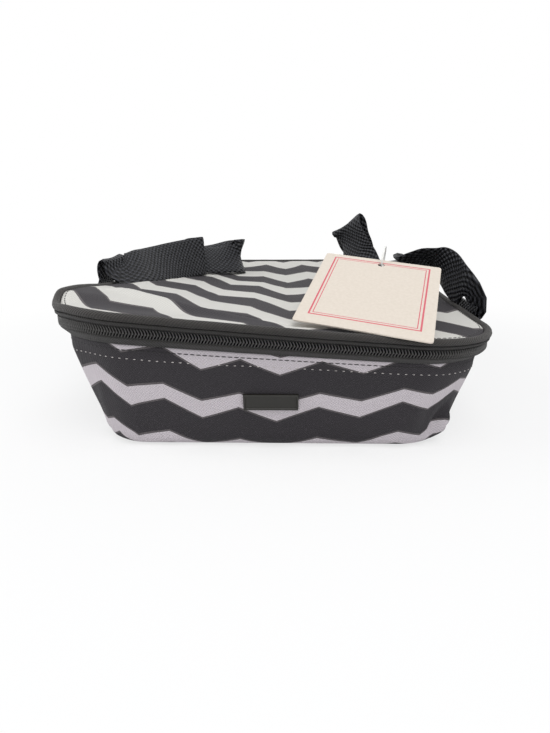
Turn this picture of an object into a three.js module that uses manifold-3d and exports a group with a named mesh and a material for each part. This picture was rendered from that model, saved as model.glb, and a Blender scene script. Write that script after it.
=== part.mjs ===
// Insulated zip-top tote: a padded tub with a hinged padded lid, a zip round three sides and two webbing handles.
// Millimetres, +Z up. The front faces -Y, and the origin is the middle of the base, on the table.
import * as THREE from "three";
import { mergeVertices } from "three/addons/utils/BufferGeometryUtils.js";
import Module from "manifold-3d";

// The rim, measured over the lid's rolled binding
const RIM_WIDTH = 285;
const RIM_DEPTH = 385;
const RIM_HEIGHT = 90;
const RIM_CORNER = 60;

// The wall leans in towards the base and rolls under it
const BASE_INSET = 25;
const BASE_ROLL = 10;

// How the empty tote has settled: the rim stands up at its left front and sinks towards its right front
const LEFT_RISE = 9.5;
const MIDDLE_SINK = 5.7;
const RIGHT_SINK = 14.6;
const LID_DIP = 7;

// Layers, and the clearance that neighbouring pieces keep
const CANVAS = 1.2;
const FOAM = 4.5;
const LID_FOAM = 4.3;
const LINING = 0.8;
const SEAM = 0.3;

// The rim's stack, from the top down
const BINDING = 4.6;
const UPPER_TAPE = 3.2;
const CHAIN = 4.6;
const LOWER_TAPE = 4.9;
const COVER_DROP = 0.5;

// Zip: two combs of tapered teeth that fill each other's gaps
const TAPE = 1;
const CHAIN_INSET = 2;
const TOOTH_DEPTH = 2.2;
const TOOTH_PITCH = 10;
const TOOTH_BASE = 4.9;
const TOOTH_TAPER = 0.4;
const TOOTH_OVERLAP = 1.8;
const TAPE_TURN = 8;
const STOP_LENGTH = 3;

// Zip slider and its pull
const SLIDER_LENGTH = 14;
const SLIDER_PLATE = 1;
const SLIDER_PLAY = 0.4;
const SLIDER_PARK = 12.5;
const ARCH_SPAN = 5.2;
const ARCH_RISE = 2.2;
const ARCH_BAR = 0.9;
const ARCH_WIDTH = 2.4;
const PULL_LENGTH = 24;
const PULL_WIDTH = 6.4;
const PULL_THICK = 1.2;
const PULL_BAR = 1.5;
const PULL_EYE = 6.6;

// Handles: webbing sewn to the long sides, standing clear of the zip
const WEBBING = 38;
const WEBBING_THICK = 2.2;
const HANDLE_SPREAD = 130;
const SEWN_FROM = 28;
const SEWN_TO = 58;
const HANDLE_STANDOFF = 3.5;
const HANDLE_BEND = 3;
const HANDLE_LEAN = 19;

// Label patch on the front, and the card on the lid
const LABEL_WIDTH = 34;
const LABEL_HEIGHT = 11.5;
const LABEL_THICK = 1.6;
const LABEL_FRAME = 1.2;
const LABEL_RECESS = 0.5;
const LABEL_CENTRE = 37;
const CARD_WIDTH = 80;
const CARD_HEIGHT = 95;
const CARD_THICK = 0.8;
const CARD_CORNER = 2;
const CARD_ASIDE = 64.1;
const CARD_BACK = 47.1;
const CARD_RAISE = 8.4;
const CARD_TILT = [19.4, 6.45, -14.6];
const CARD_HOLE = 2.5;
const CARD_HOLE_DROP = 8;
const LOOP_RADIUS = 9;
const LOOP_THICK = 1.3;

// How finely curves are cut
const CORNER_STEPS = 10;
const SIDE_STEP = 36;
const ROLL_STEPS = 8;
const HANDLE_STEPS = 40;

const wasm = await Module();
wasm.setup();

// Heights of the rim's stack, and of the padding below it
const bindingFoot = RIM_HEIGHT - BINDING;
const upperTapeTop = bindingFoot - SEAM;
const upperTapeFoot = upperTapeTop - UPPER_TAPE;
const chainTop = upperTapeFoot - SEAM;
const chainFoot = chainTop - CHAIN;
const chainMiddle = (chainTop + chainFoot) / 2;
const lowerTapeTop = chainFoot - SEAM;
const lowerTapeFoot = lowerTapeTop - LOWER_TAPE;
const wallTop = lowerTapeFoot - SEAM;
const wallTopInset = CHAIN_INSET + TAPE + LOWER_TAPE + SEAM;
const baseFoamFoot = CANVAS + SEAM;
const baseFoamTop = baseFoamFoot + FOAM;
const floorFoot = baseFoamTop + SEAM;

// The outline is a rounded rectangle. A station on it has a centre and a way out,
// and a point lies (RIM_CORNER - inset) from the centre along that way.
const sideHalf = RIM_WIDTH / 2 - RIM_CORNER;
const endHalf = RIM_DEPTH / 2 - RIM_CORNER;
const arcLength = ((RIM_CORNER - CHAIN_INSET) * Math.PI) / 2;

// The runs of the outline, from the middle of the rear, by the left side and the front, back to the rear
function straight(from, to, out) {
  const length = Math.hypot(to[0] - from[0], to[1] - from[1]);
  const at = (t) => ({
    centre: [from[0] + (to[0] - from[0]) * t, from[1] + (to[1] - from[1]) * t],
    out,
  });
  return { length, steps: Math.ceil(length / SIDE_STEP), at };
}

function corner(centre, startDegrees) {
  const at = (t) => {
    const turn = THREE.MathUtils.degToRad(startDegrees + 90 * t);
    return { centre, out: [Math.cos(turn), Math.sin(turn)] };
  };
  return { length: arcLength, steps: CORNER_STEPS, at };
}

const runs = [
  straight([0, endHalf], [-sideHalf, endHalf], [0, 1]),
  corner([-sideHalf, endHalf], 90),
  straight([-sideHalf, endHalf], [-sideHalf, -endHalf], [-1, 0]),
  corner([-sideHalf, -endHalf], 180),
  straight([-sideHalf, -endHalf], [sideHalf, -endHalf], [0, -1]),
  corner([sideHalf, -endHalf], 270),
  straight([sideHalf, -endHalf], [sideHalf, endHalf], [1, 0]),
  corner([sideHalf, endHalf], 0),
  straight([sideHalf, endHalf], [0, endHalf], [0, 1]),
];
const loopLength = runs.reduce((sum, run) => sum + run.length, 0);

function stationAt(distance) {
  let left = ((distance % loopLength) + loopLength) % loopLength;
  for (const run of runs) {
    if (left <= run.length) return run.at(left / run.length);
    left -= run.length;
  }
  return runs[0].at(0);
}

// Distances of the stations from one end of a stretch to the other
function stretch(from, to) {
  const marks = [];
  for (let turn = -1; turn <= 1; turn++) {
    let start = turn * loopLength;
    for (const run of runs) {
      for (let k = 0; k < run.steps; k++) marks.push(start + (run.length * k) / run.steps);
      start += run.length;
    }
  }
  const inside = marks.filter((mark) => mark > from + 1 && mark < to - 1);
  return [from, ...inside, to];
}

const wholeLoop = stretch(0, loopLength).slice(0, -1);
const leftSideStart = sideHalf + arcLength;
const leftSideAt = (y) => leftSideStart + endHalf - y;
const rightSideAt = (y) => loopLength - leftSideAt(y);
const zipStart = leftSideStart - TAPE_TURN;
const zipEnd = loopLength - zipStart;

// The settled shape: a lift that is nought at the rear and along the left side
function smooth(t) {
  const c = THREE.MathUtils.clamp(t, 0, 1);
  return c * c * (3 - 2 * c);
}

function lift(x, y) {
  const across = THREE.MathUtils.clamp((2 * x) / RIM_WIDTH, -1, 1);
  const front = smooth((-endHalf - y) / RIM_CORNER);
  const along = smooth(0.5 - y / RIM_DEPTH);
  const left = LEFT_RISE * ((1 - across) / 2) ** 2;
  const middle = (MIDDLE_SINK * (1 - across ** 2)) / 2;
  const right = RIGHT_SINK * ((1 + across) / 2) ** 2;
  return front * (left - middle) - along * right;
}

function settled(x, y, z) {
  return new THREE.Vector3(x, y, z + lift(x, y) * Math.min(z / RIM_HEIGHT, 1));
}

function place(station, inset, z) {
  const reach = RIM_CORNER - inset;
  const x = station.centre[0] + station.out[0] * reach;
  const y = station.centre[1] + station.out[1] * reach;
  return settled(x, y, z);
}

// Closed meshes
function geometryOf(points, index) {
  let volume = 0;
  for (let k = 0; k < index.length; k += 3) {
    const [a, b, c] = [points[index[k]], points[index[k + 1]], points[index[k + 2]]];
    volume += a.dot(new THREE.Vector3().crossVectors(b, c));
  }
  if (volume < 0) index.reverse();
  const geometry = new THREE.BufferGeometry().setFromPoints(points);
  geometry.setIndex(index);
  geometry.computeVertexNormals();
  return geometry;
}

// Rings of points joined in order: a loop closes on itself, and an open row gets a flat cap at each end
function loft(rings, loop, capShape) {
  const n = rings[0].length;
  const points = rings.flat();
  const index = [];
  const spans = loop ? rings.length : rings.length - 1;
  for (let r = 0; r < spans; r++) {
    const a = r * n;
    const b = ((r + 1) % rings.length) * n;
    for (let k = 0; k < n; k++) {
      const j = (k + 1) % n;
      // Each four-sided patch is split along its shorter diagonal, so that facing layers match
      const first = points[a + k].distanceTo(points[b + j]);
      const second = points[a + j].distanceTo(points[b + k]);
      if (first < second) index.push(a + k, a + j, b + j, a + k, b + j, b + k);
      else index.push(a + k, a + j, b + k, a + j, b + j, b + k);
    }
  }
  if (!loop) {
    const end = (rings.length - 1) * n;
    const cap = THREE.ShapeUtils.triangulateShape(capShape, []);
    const follows = ([p, q, r]) => [p, q, r].some((v, k, t) => t[(k + 1) % 3] === (v + 1) % n);
    const forward = cap.some(follows);
    for (const [p, q, r] of cap) {
      const [s, t] = forward ? [q, r] : [r, q];
      index.push(p, t, s, end + p, end + s, end + t);
    }
  }
  return geometryOf(points, index);
}

// A section of [inset, height] points carried along the outline
function sweep(section, distances, loop) {
  const rings = distances.map((distance) => {
    const station = stationAt(distance);
    return section.map(([inset, z]) => place(station, inset, z));
  });
  return loft(rings, loop, section.map(([inset, z]) => new THREE.Vector2(inset, z)));
}

// The outline at one inset and height, drawn in towards the middle by a share
function outlineRing(inset, z, share = 1, dip = () => 0) {
  return wholeLoop.map((distance) => {
    const station = stationAt(distance);
    const reach = RIM_CORNER - inset;
    const x = (station.centre[0] + station.out[0] * reach) * share;
    const y = (station.centre[1] + station.out[1] * reach) * share;
    const point = settled(x, y, z);
    point.z -= dip(x, y);
    return point;
  });
}

// A body of outline rings, capped flat over its first and last ring
function stack(rings) {
  return loft(rings, false, rings[0].map((p) => new THREE.Vector2(p.x, p.y)));
}

const PANEL_SHARES = [0.15, 0.5, 0.8];

// A panel with the outline's shape whose faces follow the settled lid
function panel(inset, foot, top, dip) {
  const upper = PANEL_SHARES.map((share) => outlineRing(inset, top, share, dip));
  const lower = PANEL_SHARES.map((share) => outlineRing(inset, foot, share, dip)).reverse();
  return stack([...upper, outlineRing(inset, top, 1, dip), outlineRing(inset, foot, 1, dip), ...lower]);
}

function lidDip(x, y) {
  const across = Math.max(0, 1 - ((2 * x) / RIM_WIDTH) ** 2);
  const along = Math.max(0, 1 - ((2 * y) / RIM_DEPTH) ** 2);
  return LID_DIP * across * along;
}

// Solids for joining and cutting
function solid(geometry) {
  const plain = geometry.clone();
  plain.deleteAttribute("normal");
  plain.deleteAttribute("uv");
  const merged = mergeVertices(plain, 1e-4);
  const vertProperties = merged.attributes.position.array;
  const triVerts = new Uint32Array(merged.index.array);
  return new wasm.Manifold(new wasm.Mesh({ numProp: 3, vertProperties, triVerts }));
}

function geometryOfSolid(body) {
  const { vertProperties, triVerts } = body.getMesh();
  const geometry = new THREE.BufferGeometry();
  geometry.setAttribute("position", new THREE.BufferAttribute(vertProperties, 3));
  geometry.setIndex(new THREE.BufferAttribute(triVerts, 1));
  geometry.computeVertexNormals();
  return geometry;
}

// Materials by finish
function finish(color, roughness, metalness = 0) {
  return () => new THREE.MeshStandardMaterial({ color, roughness, metalness });
}
const printedCanvas = finish(0x6a6669, 0.9);
const plainCanvas = finish(0x2b2829, 0.9);
const insulatingFoam = finish(0xe9e9e4, 0.95);
const silverLining = finish(0xb9bcbf, 0.45, 0.3);
const blackBinding = finish(0x302d2a, 0.85);
const zipTape = finish(0x2a2927, 0.9);
const nylonCoil = finish(0x35353a, 0.45);
const sliderMetal = finish(0x3a3a3d, 0.4, 0.8);
const blackWebbing = finish(0x1a1c1e, 0.8);
const mouldedRubber = finish(0x191814, 0.5);
const creamCard = finish(0xe2d9cb, 0.8);
const clearPlastic = finish(0xf1f1ee, 0.3);

const tote = new THREE.Group();

function add(name, geometry, material, parent = tote) {
  const mesh = new THREE.Mesh(geometry, material());
  mesh.name = name;
  parent.add(mesh);
  return mesh;
}

// Tub: canvas wall, base panel, foam and lining
function wallInset(z) {
  const share = (wallTop - z) / (wallTop - BASE_ROLL);
  return wallTopInset + (BASE_INSET - wallTopInset) * share;
}

const rollSteps = 3;
const rollCentre = BASE_INSET + BASE_ROLL;

function rolledEdge(radius) {
  const points = [];
  for (let k = 0; k <= rollSteps; k++) {
    const turn = ((k / rollSteps) * Math.PI) / 2;
    points.push([rollCentre - radius * Math.cos(turn), BASE_ROLL - radius * Math.sin(turn)]);
  }
  return points;
}

function outerWall() {
  const outside = [[wallTopInset, wallTop], ...rolledEdge(BASE_ROLL)];
  const inside = [[wallTopInset + CANVAS, wallTop], ...rolledEdge(BASE_ROLL - CANVAS)].reverse();
  return sweep([...outside, ...inside], wholeLoop, true);
}

function rollInset(z) {
  const radius = BASE_ROLL - CANVAS - SEAM;
  return rollCentre - Math.sqrt(Math.max(radius ** 2 - (BASE_ROLL - z) ** 2, 0));
}

function baseInsulation() {
  const middle = (baseFoamFoot + baseFoamTop) / 2;
  const rings = [baseFoamFoot, middle, baseFoamTop].map((z) => outlineRing(rollInset(z) + SEAM, z));
  return stack(rings);
}

const foamOut = (z) => wallInset(z) + CANVAS + SEAM;
const foamTop = wallTop - LINING;
const foamFootInset = Math.max(foamOut(floorFoot), rollInset(floorFoot) + 2 * SEAM);

function wallInsulation() {
  const section = [
    [foamOut(foamTop), foamTop],
    [foamFootInset, floorFoot],
    [foamFootInset + FOAM, floorFoot],
    [foamOut(foamTop) + FOAM, foamTop],
  ];
  return sweep(section, wholeLoop, true);
}

// One welded tub of lining, turned out over the foam's top edge
function liner() {
  const shelfFoot = foamTop + SEAM;
  const lip = wallInset(shelfFoot) + CANVAS + SEAM;
  const skirtTop = foamOut(foamTop) + FOAM + SEAM;
  const skirtFoot = foamFootInset + FOAM + SEAM;
  return stack([
    outlineRing(skirtFoot, floorFoot),
    outlineRing(skirtTop, shelfFoot),
    outlineRing(lip, shelfFoot),
    outlineRing(lip, shelfFoot + LINING),
    outlineRing(skirtTop + LINING, shelfFoot + LINING),
    outlineRing(skirtFoot + LINING, floorFoot + LINING),
  ]);
}

add("outer_wall", outerWall(), printedCanvas);
add(
  "outer_base",
  stack([outlineRing(rollCentre + SEAM, CANVAS), outlineRing(rollCentre + SEAM, 0)]),
  plainCanvas,
);
add("base_insulation", baseInsulation(), insulatingFoam);
add("wall_insulation", wallInsulation(), insulatingFoam);
add("liner", liner(), silverLining);

// Zip tapes. Beside the chain each tape lies behind the slider's turned edge.
const tapeFace = CHAIN_INSET + TAPE;
const edgeClear = SLIDER_PLATE + SLIDER_PLAY - SEAM;
const upperTapeSection = [
  [tapeFace, upperTapeFoot],
  [tapeFace, upperTapeFoot + edgeClear],
  [CHAIN_INSET - TAPE, upperTapeFoot + edgeClear + TAPE / 2],
  [CHAIN_INSET - TAPE, upperTapeTop - TAPE / 2],
  [CHAIN_INSET, upperTapeTop],
  [tapeFace + TAPE, upperTapeTop],
  [tapeFace + TAPE, upperTapeFoot],
];
const lowerTapeSection = [
  [tapeFace, lowerTapeTop],
  [tapeFace, lowerTapeTop - edgeClear],
  [wallTopInset, lowerTapeFoot],
  [wallTopInset + CANVAS, lowerTapeFoot],
  [tapeFace + TAPE, lowerTapeTop - edgeClear],
  [tapeFace + TAPE, lowerTapeTop],
];
add("lower_zip_tape", sweep(lowerTapeSection, stretch(zipStart, zipEnd), false), zipTape);
add("upper_zip_tape", sweep(upperTapeSection, stretch(zipStart, zipEnd), false), zipTape);

// The fabric hinge behind the lid, in two halves that meet on the hinge line
const hingeInset = CHAIN_INSET + SEAM;
const hingeStretch = stretch(zipEnd + SEAM, loopLength + zipStart - SEAM);
const hingeUpperSection = [
  [hingeInset, chainMiddle + SEAM / 2],
  [CHAIN_INSET - TAPE, upperTapeTop],
  [CHAIN_INSET + SEAM, upperTapeTop],
  [hingeInset + CANVAS, chainMiddle + SEAM / 2],
];
const hingeLowerSection = [
  [hingeInset, chainMiddle - SEAM / 2],
  [wallTopInset, lowerTapeFoot],
  [wallTopInset + CANVAS, lowerTapeFoot],
  [hingeInset + CANVAS, chainMiddle - SEAM / 2],
];
add("hinge_strip_lower", sweep(hingeLowerSection, hingeStretch, false), blackBinding);
add("hinge_strip_upper", sweep(hingeUpperSection, hingeStretch, false), blackBinding);

// A comb of tapered teeth along the outline: a backing strip, with a tooth on each pitch
function comb(first, count, back, root, tip) {
  const points = [];
  const index = [];
  const row = (distance, z) => {
    const station = stationAt(distance);
    points.push(place(station, CHAIN_INSET, z), place(station, CHAIN_INSET + TOOTH_DEPTH, z));
    return points.length - 2;
  };
  const quad = (a, b, c, d) => index.push(a, b, c, a, c, d);
  let before = null;
  for (let k = 0; k < count; k++) {
    const start = first + k * TOOTH_PITCH;
    const end = start + TOOTH_BASE;
    const [backA, backB] = [row(start, back), row(end, back)];
    const [rootA, rootB] = [row(start, root), row(end, root)];
    const [tipA, tipB] = [row(start + TOOTH_TAPER, tip), row(end - TOOTH_TAPER, tip)];
    const strip = (b0, r0, b1, r1) => {
      quad(b0, r0, r1, b1);
      quad(b0 + 1, b1 + 1, r1 + 1, r0 + 1);
      quad(b0, b1, b1 + 1, b0 + 1);
    };
    if (before === null) quad(backA, backA + 1, rootA + 1, rootA);
    else {
      strip(before.back, before.root, backA, rootA);
      quad(before.root, before.root + 1, rootA + 1, rootA);
    }
    strip(backA, rootA, backB, rootB);
    quad(rootA, tipA, tipB, rootB);
    quad(rootA + 1, rootB + 1, tipB + 1, tipA + 1);
    quad(rootA, rootA + 1, tipA + 1, tipA);
    quad(rootB, tipB, tipB + 1, rootB + 1);
    quad(tipA, tipA + 1, tipB + 1, tipB);
    before = { back: backB, root: rootB };
  }
  quad(before.back, before.root, before.root + 1, before.back + 1);
  return geometryOf(points, index);
}

// The upper comb stops short of the parked slider, and the lower one runs on under it
const sliderPark = endHalf - SLIDER_PARK;
const lowerFirst = leftSideAt(endHalf - SEAM);
const lowerCount = Math.floor((rightSideAt(endHalf) - lowerFirst) / TOOTH_PITCH);
const parkTeeth = Math.ceil((SLIDER_PARK + SLIDER_LENGTH / 2) / TOOTH_PITCH);
const upperFirst = lowerFirst + parkTeeth * TOOTH_PITCH + TOOTH_PITCH / 2;
const upperCount = lowerCount - parkTeeth;
const toothRoot = (TOOTH_OVERLAP + SEAM) / 2 + SEAM / 2;
const toothTip = TOOTH_OVERLAP / 2;
add(
  "lower_zip_teeth",
  comb(lowerFirst, lowerCount, chainFoot, chainMiddle - toothRoot, chainMiddle + toothTip),
  nylonCoil,
);
add(
  "upper_zip_teeth",
  comb(upperFirst, upperCount, chainTop, chainMiddle + toothRoot, chainMiddle - toothTip),
  nylonCoil,
);

// Stops sewn across the ends of the chain
const stopSection = [
  [CHAIN_INSET, chainFoot],
  [CHAIN_INSET, chainTop],
  [CHAIN_INSET + TOOTH_DEPTH, chainTop],
  [CHAIN_INSET + TOOTH_DEPTH, chainFoot],
];
const stopBack = lowerFirst - SEAM;
const stopFront = lowerFirst + lowerCount * TOOTH_PITCH;
add("zip_stop_left", sweep(stopSection, [stopBack - STOP_LENGTH, stopBack], false), sliderMetal);
add("zip_stop_right", sweep(stopSection, [stopFront, stopFront + STOP_LENGTH], false), sliderMetal);

// Lid: printed cover, foam and lining, edged by a rolled binding
const coverTop = RIM_HEIGHT - COVER_DROP;
const lidFoamTop = coverTop - CANVAS - SEAM;
const lidFoamFoot = lidFoamTop - LID_FOAM;
const lidInset = BINDING + SEAM;

function lidBinding() {
  const section = [];
  for (let k = 0; k < ROLL_STEPS; k++) {
    const turn = (2 * Math.PI * k) / ROLL_STEPS;
    const half = BINDING / 2;
    section.push([half - half * Math.cos(turn), RIM_HEIGHT - half + half * Math.sin(turn)]);
  }
  return sweep(section, wholeLoop, true);
}

const lidLiningTop = lidFoamFoot - SEAM;
add("lid_binding", lidBinding(), blackBinding);
add("lid_cover", panel(lidInset, coverTop - CANVAS, coverTop, lidDip), printedCanvas);
add("lid_insulation", panel(lidInset, lidFoamFoot, lidFoamTop, lidDip), insulatingFoam);
add("lid_liner", panel(lidInset, lidLiningTop - LINING, lidLiningTop, lidDip), silverLining);

// Slider, in its own frame: +X out of the zip, +Y to the rear, +Z up
const slider = new THREE.Group();
slider.position.set(-(RIM_WIDTH / 2 - CHAIN_INSET), sliderPark, chainMiddle);
slider.scale.x = -1;
tote.add(slider);
const sliderHalf = CHAIN / 2 + SLIDER_PLAY + SLIDER_PLATE;
const plateOut = SLIDER_PLAY + SLIDER_PLATE;

// A shape drawn in X and Y, drawn out along Z and centred on it
function prism(points, length, holes = []) {
  const shape = new THREE.Shape(points.map(([x, y]) => new THREE.Vector2(x, y)));
  for (const hole of holes) shape.holes.push(new THREE.Path(hole.map(([x, y]) => new THREE.Vector2(x, y))));
  const geometry = new THREE.ExtrudeGeometry(shape, { depth: length, bevelEnabled: false });
  return geometry.translate(0, 0, -length / 2);
}

function sliderShell() {
  const mouth = CHAIN / 2 + SLIDER_PLAY;
  const hook = TAPE - SEAM;
  const channel = prism(
    [
      [-hook, -sliderHalf],
      [plateOut, -sliderHalf],
      [plateOut, sliderHalf],
      [-hook, sliderHalf],
      [-hook, mouth],
      [SLIDER_PLAY, mouth],
      [SLIDER_PLAY, -mouth],
      [-hook, -mouth],
    ],
    SLIDER_LENGTH,
  ).rotateX(Math.PI / 2);
  // A shield outline, narrow at the nose and notched towards the parted teeth
  const nose = SLIDER_LENGTH / 2;
  const shield = prism(
    [
      [-nose, -sliderHalf * 0.72],
      [-nose * 0.45, -sliderHalf],
      [nose * 0.7, -sliderHalf],
      [nose, -sliderHalf * 0.8],
      [nose, sliderHalf * 0.8],
      [nose * 0.7, sliderHalf],
      [-nose * 0.45, sliderHalf],
      [-nose, sliderHalf * 0.72],
    ],
    4 * (plateOut + hook),
  );
  shield.applyMatrix4(new THREE.Matrix4().makeBasis(
    new THREE.Vector3(0, 1, 0),
    new THREE.Vector3(0, 0, 1),
    new THREE.Vector3(1, 0, 0),
  ));
  const half = ARCH_SPAN / 2 + ARCH_BAR;
  const root = SLIDER_PLAY + SLIDER_PLATE / 2;
  const arch = prism(
    [
      [root, -half],
      [plateOut + ARCH_RISE, -half],
      [plateOut + ARCH_RISE + ARCH_BAR, -half + ARCH_BAR],
      [plateOut + ARCH_RISE + ARCH_BAR, half - ARCH_BAR],
      [plateOut + ARCH_RISE, half],
      [root, half],
      [root, half - ARCH_BAR],
      [plateOut + ARCH_RISE, half - ARCH_BAR],
      [plateOut + ARCH_RISE, -half + ARCH_BAR],
      [root, -half + ARCH_BAR],
    ],
    ARCH_WIDTH,
  );
  return geometryOfSolid(solid(channel).intersect(solid(shield)).add(solid(arch)));
}

// The back plate runs inside the tapes. The closed teeth fill the place of the post between the plates.
function sliderBack() {
  const inner = -(TOOTH_DEPTH + SLIDER_PLAY);
  const half = CHAIN / 2 + SLIDER_PLAY;
  const plate = [
    [inner - SLIDER_PLATE, -half],
    [inner, -half],
    [inner, half],
    [inner - SLIDER_PLATE, half],
  ];
  return prism(plate, SLIDER_LENGTH).rotateX(Math.PI / 2);
}

add("zip_slider", sliderShell(), sliderMetal, slider);
add("zip_slider_back", sliderBack(), sliderMetal, slider);

// The pull hangs by its eye under the slider's arch and lies back along the zip
function zipPull() {
  const half = PULL_WIDTH / 2;
  const eye = ARCH_WIDTH / 2 + 2 * SEAM;
  const tip = PULL_LENGTH - PULL_BAR;
  const outline = [
    [-PULL_BAR / 2, -half],
    [PULL_EYE + PULL_BAR, -half],
    [tip - half / 2, -half * 0.7],
    [tip, -half * 0.4],
    [tip, half * 0.4],
    [tip - half / 2, half * 0.7],
    [PULL_EYE + PULL_BAR, half],
    [-PULL_BAR / 2, half],
  ];
  const hole = [
    [PULL_BAR / 2, -eye],
    [PULL_BAR / 2, eye],
    [PULL_BAR / 2 + PULL_EYE, eye],
    [PULL_BAR / 2 + PULL_EYE, -eye],
  ];
  const tab = prism(outline, PULL_THICK, [hole]);
  tab.applyMatrix4(new THREE.Matrix4().makeBasis(
    new THREE.Vector3(0, 1, 0),
    new THREE.Vector3(0, 0, 1),
    new THREE.Vector3(1, 0, 0),
  ));
  return tab.translate(plateOut + ARCH_RISE / 2, 0, 0);
}
add("zip_pull", zipPull(), sliderMetal, slider);

// Label patch: a small moulded plate with a raised frame, flat against the front wall
function labelPatch() {
  const ring = (inset, z) => {
    const w = LABEL_WIDTH / 2 - inset;
    const h = LABEL_HEIGHT / 2 - inset;
    return [[-w, -h], [w, -h], [w, h], [-w, h]].map(([x, y]) => new THREE.Vector3(x, y, z));
  };
  return stack([
    ring(0, 0),
    ring(0, LABEL_THICK - SEAM),
    ring(SEAM, LABEL_THICK),
    ring(LABEL_FRAME, LABEL_THICK),
    ring(LABEL_FRAME + SEAM, LABEL_THICK - LABEL_RECESS),
  ]);
}

// The label lies on the settled wall, so it takes its height and slope from two points there
const labelStation = stationAt(loopLength / 2);
const labelHigh = place(labelStation, wallInset(LABEL_CENTRE + LABEL_HEIGHT), LABEL_CENTRE + LABEL_HEIGHT);
const labelLow = place(labelStation, wallInset(LABEL_CENTRE - LABEL_HEIGHT), LABEL_CENTRE - LABEL_HEIGHT);
const label = new THREE.Group();
const labelUp = new THREE.Vector3().subVectors(labelHigh, labelLow).normalize();
const labelOut = new THREE.Vector3(1, 0, 0).cross(labelUp);
label.position.copy(labelHigh).add(labelLow).multiplyScalar(0.5).addScaledVector(labelOut, SEAM);
label.quaternion.setFromRotationMatrix(
  new THREE.Matrix4().makeBasis(new THREE.Vector3(1, 0, 0), labelUp, labelOut),
);
tote.add(label);
add("label_patch", labelPatch(), mouldedRubber, label);

// Handles. Each end is sewn flat to a long side, then stands out past the zip to the bend over the rim.
const bendHeight = RIM_HEIGHT + HANDLE_BEND;
const webbingFace = -HANDLE_STANDOFF;

// Past its seam the webbing leans along the side by as much as it is given
function sewnEnd(middle, lean) {
  const face = [
    [wallInset(SEWN_FROM) - SEAM, SEWN_FROM, 0],
    [wallInset(SEWN_TO) - SEAM, SEWN_TO, 0],
    [webbingFace, wallTop + LOWER_TAPE / 2, lean / 2],
    [webbingFace, bendHeight, lean],
  ];
  const back = face.map(([inset, z, slip]) => [inset - WEBBING_THICK, z, slip]).reverse();
  const section = [...face, ...back];
  const rings = [-WEBBING / 2, 0, WEBBING / 2].map((across) =>
    section.map(([inset, z, slip]) => place(stationAt(middle + across + slip), inset, z)));
  return loft(rings, false, section.map(([inset, z]) => new THREE.Vector2(inset, z)));
}

// The front ends lean to the rear on the left and to the front on the right, as the handles have fallen
const spread = HANDLE_SPREAD / 2;
add("handle_end_left_front", sewnEnd(leftSideAt(-spread), -HANDLE_LEAN), blackWebbing);
add("handle_end_left_rear", sewnEnd(leftSideAt(spread), 0), blackWebbing);
add("handle_end_right_front", sewnEnd(rightSideAt(-spread), -HANDLE_LEAN), blackWebbing);
add("handle_end_right_rear", sewnEnd(rightSideAt(spread), 0), blackWebbing);

// A webbing loop through middle points, each with the way its width points.
// It starts and ends flat over the sewn ends, whose tops it takes its place from.
function webbingLoop(side, route) {
  const x = side * (RIM_WIDTH / 2 + HANDLE_STANDOFF + WEBBING_THICK / 2);
  const foot = (y) => settled(x, y, bendHeight).add(new THREE.Vector3(0, 0, SEAM));
  const flat = [0, 1, 0];
  const [front, rear] = [-spread - side * HANDLE_LEAN, spread];
  const middle = ([inside, y, above]) =>
    new THREE.Vector3(side * (RIM_WIDTH / 2 - inside), y, RIM_HEIGHT + above);
  const middles = [foot(front), ...route.map(([p]) => middle(p)), foot(rear)];
  const ways = [flat, ...route.map(([, w]) => w), flat].map((w) => new THREE.Vector3(...w));
  const path = new THREE.CatmullRomCurve3(middles, false, "centripetal");
  const turn = new THREE.CatmullRomCurve3(ways, false, "centripetal");
  const rings = [];
  for (let k = 0; k <= HANDLE_STEPS; k++) {
    const t = k / HANDLE_STEPS;
    const along = path.getTangent(t);
    const across = turn.getPoint(t);
    across.addScaledVector(along, -across.dot(along)).normalize();
    const out = new THREE.Vector3().crossVectors(along, across);
    const corners = [[-1, -1], [1, -1], [1, 1], [-1, 1]];
    rings.push(corners.map(([w, n]) => path.getPoint(t)
      .addScaledVector(across, (w * WEBBING) / 2)
      .addScaledVector(out, (n * WEBBING_THICK) / 2)));
  }
  // The first and last ring lie on the sewn ends' settled tops
  const seat = (ring, y) => {
    for (const p of ring) p.copy(settled(p.x, y + Math.sign(p.y - y) * (WEBBING / 2), bendHeight + SEAM));
  };
  seat(rings[0], front);
  seat(rings[HANDLE_STEPS], rear);
  const square = [[-1, -1], [1, -1], [1, 1], [-1, 1]].map(([a, b]) => new THREE.Vector2(a, b));
  return loft(rings, false, square);
}

// Middle points of each fallen loop: how far inside the rim's side, along the side and above the rim.
// Each has the way that the webbing's width points there.
const leftRoute = [
  [[-4.6, -46, 9], [0, 1, 0]],
  [[-1, -41, 16], [-0.1, 0.9, -0.35]],
  [[8.5, -26, 18], [-0.4, 0.65, -0.6]],
  [[24.5, -4, 16], [-0.4, 0.45, -0.75]],
  [[42.5, 24, 16.5], [-0.3, 0.3, -0.9]],
  [[62.5, 54, 17], [0, 0, -1]],
  [[70.5, 66, 14], [0.1, 0.6, -0.8]],
  [[84.5, 84, 13.5], [0.1, 0.6, -0.8]],
  [[97.5, 103, 16], [0, 0.3, -0.95]],
  [[101.5, 112, 17], [0, 0, -1]],
  [[94.5, 117, 17], [0, 0.2, -1]],
  [[66.5, 108, 14], [0, 0.7, -0.7]],
  [[34.5, 88, 11], [0, 0.9, -0.4]],
  [[10.5, 74, 14], [0, 1, -0.1]],
  [[-3, 66.5, 10], [0, 1, 0]],
];
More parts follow.
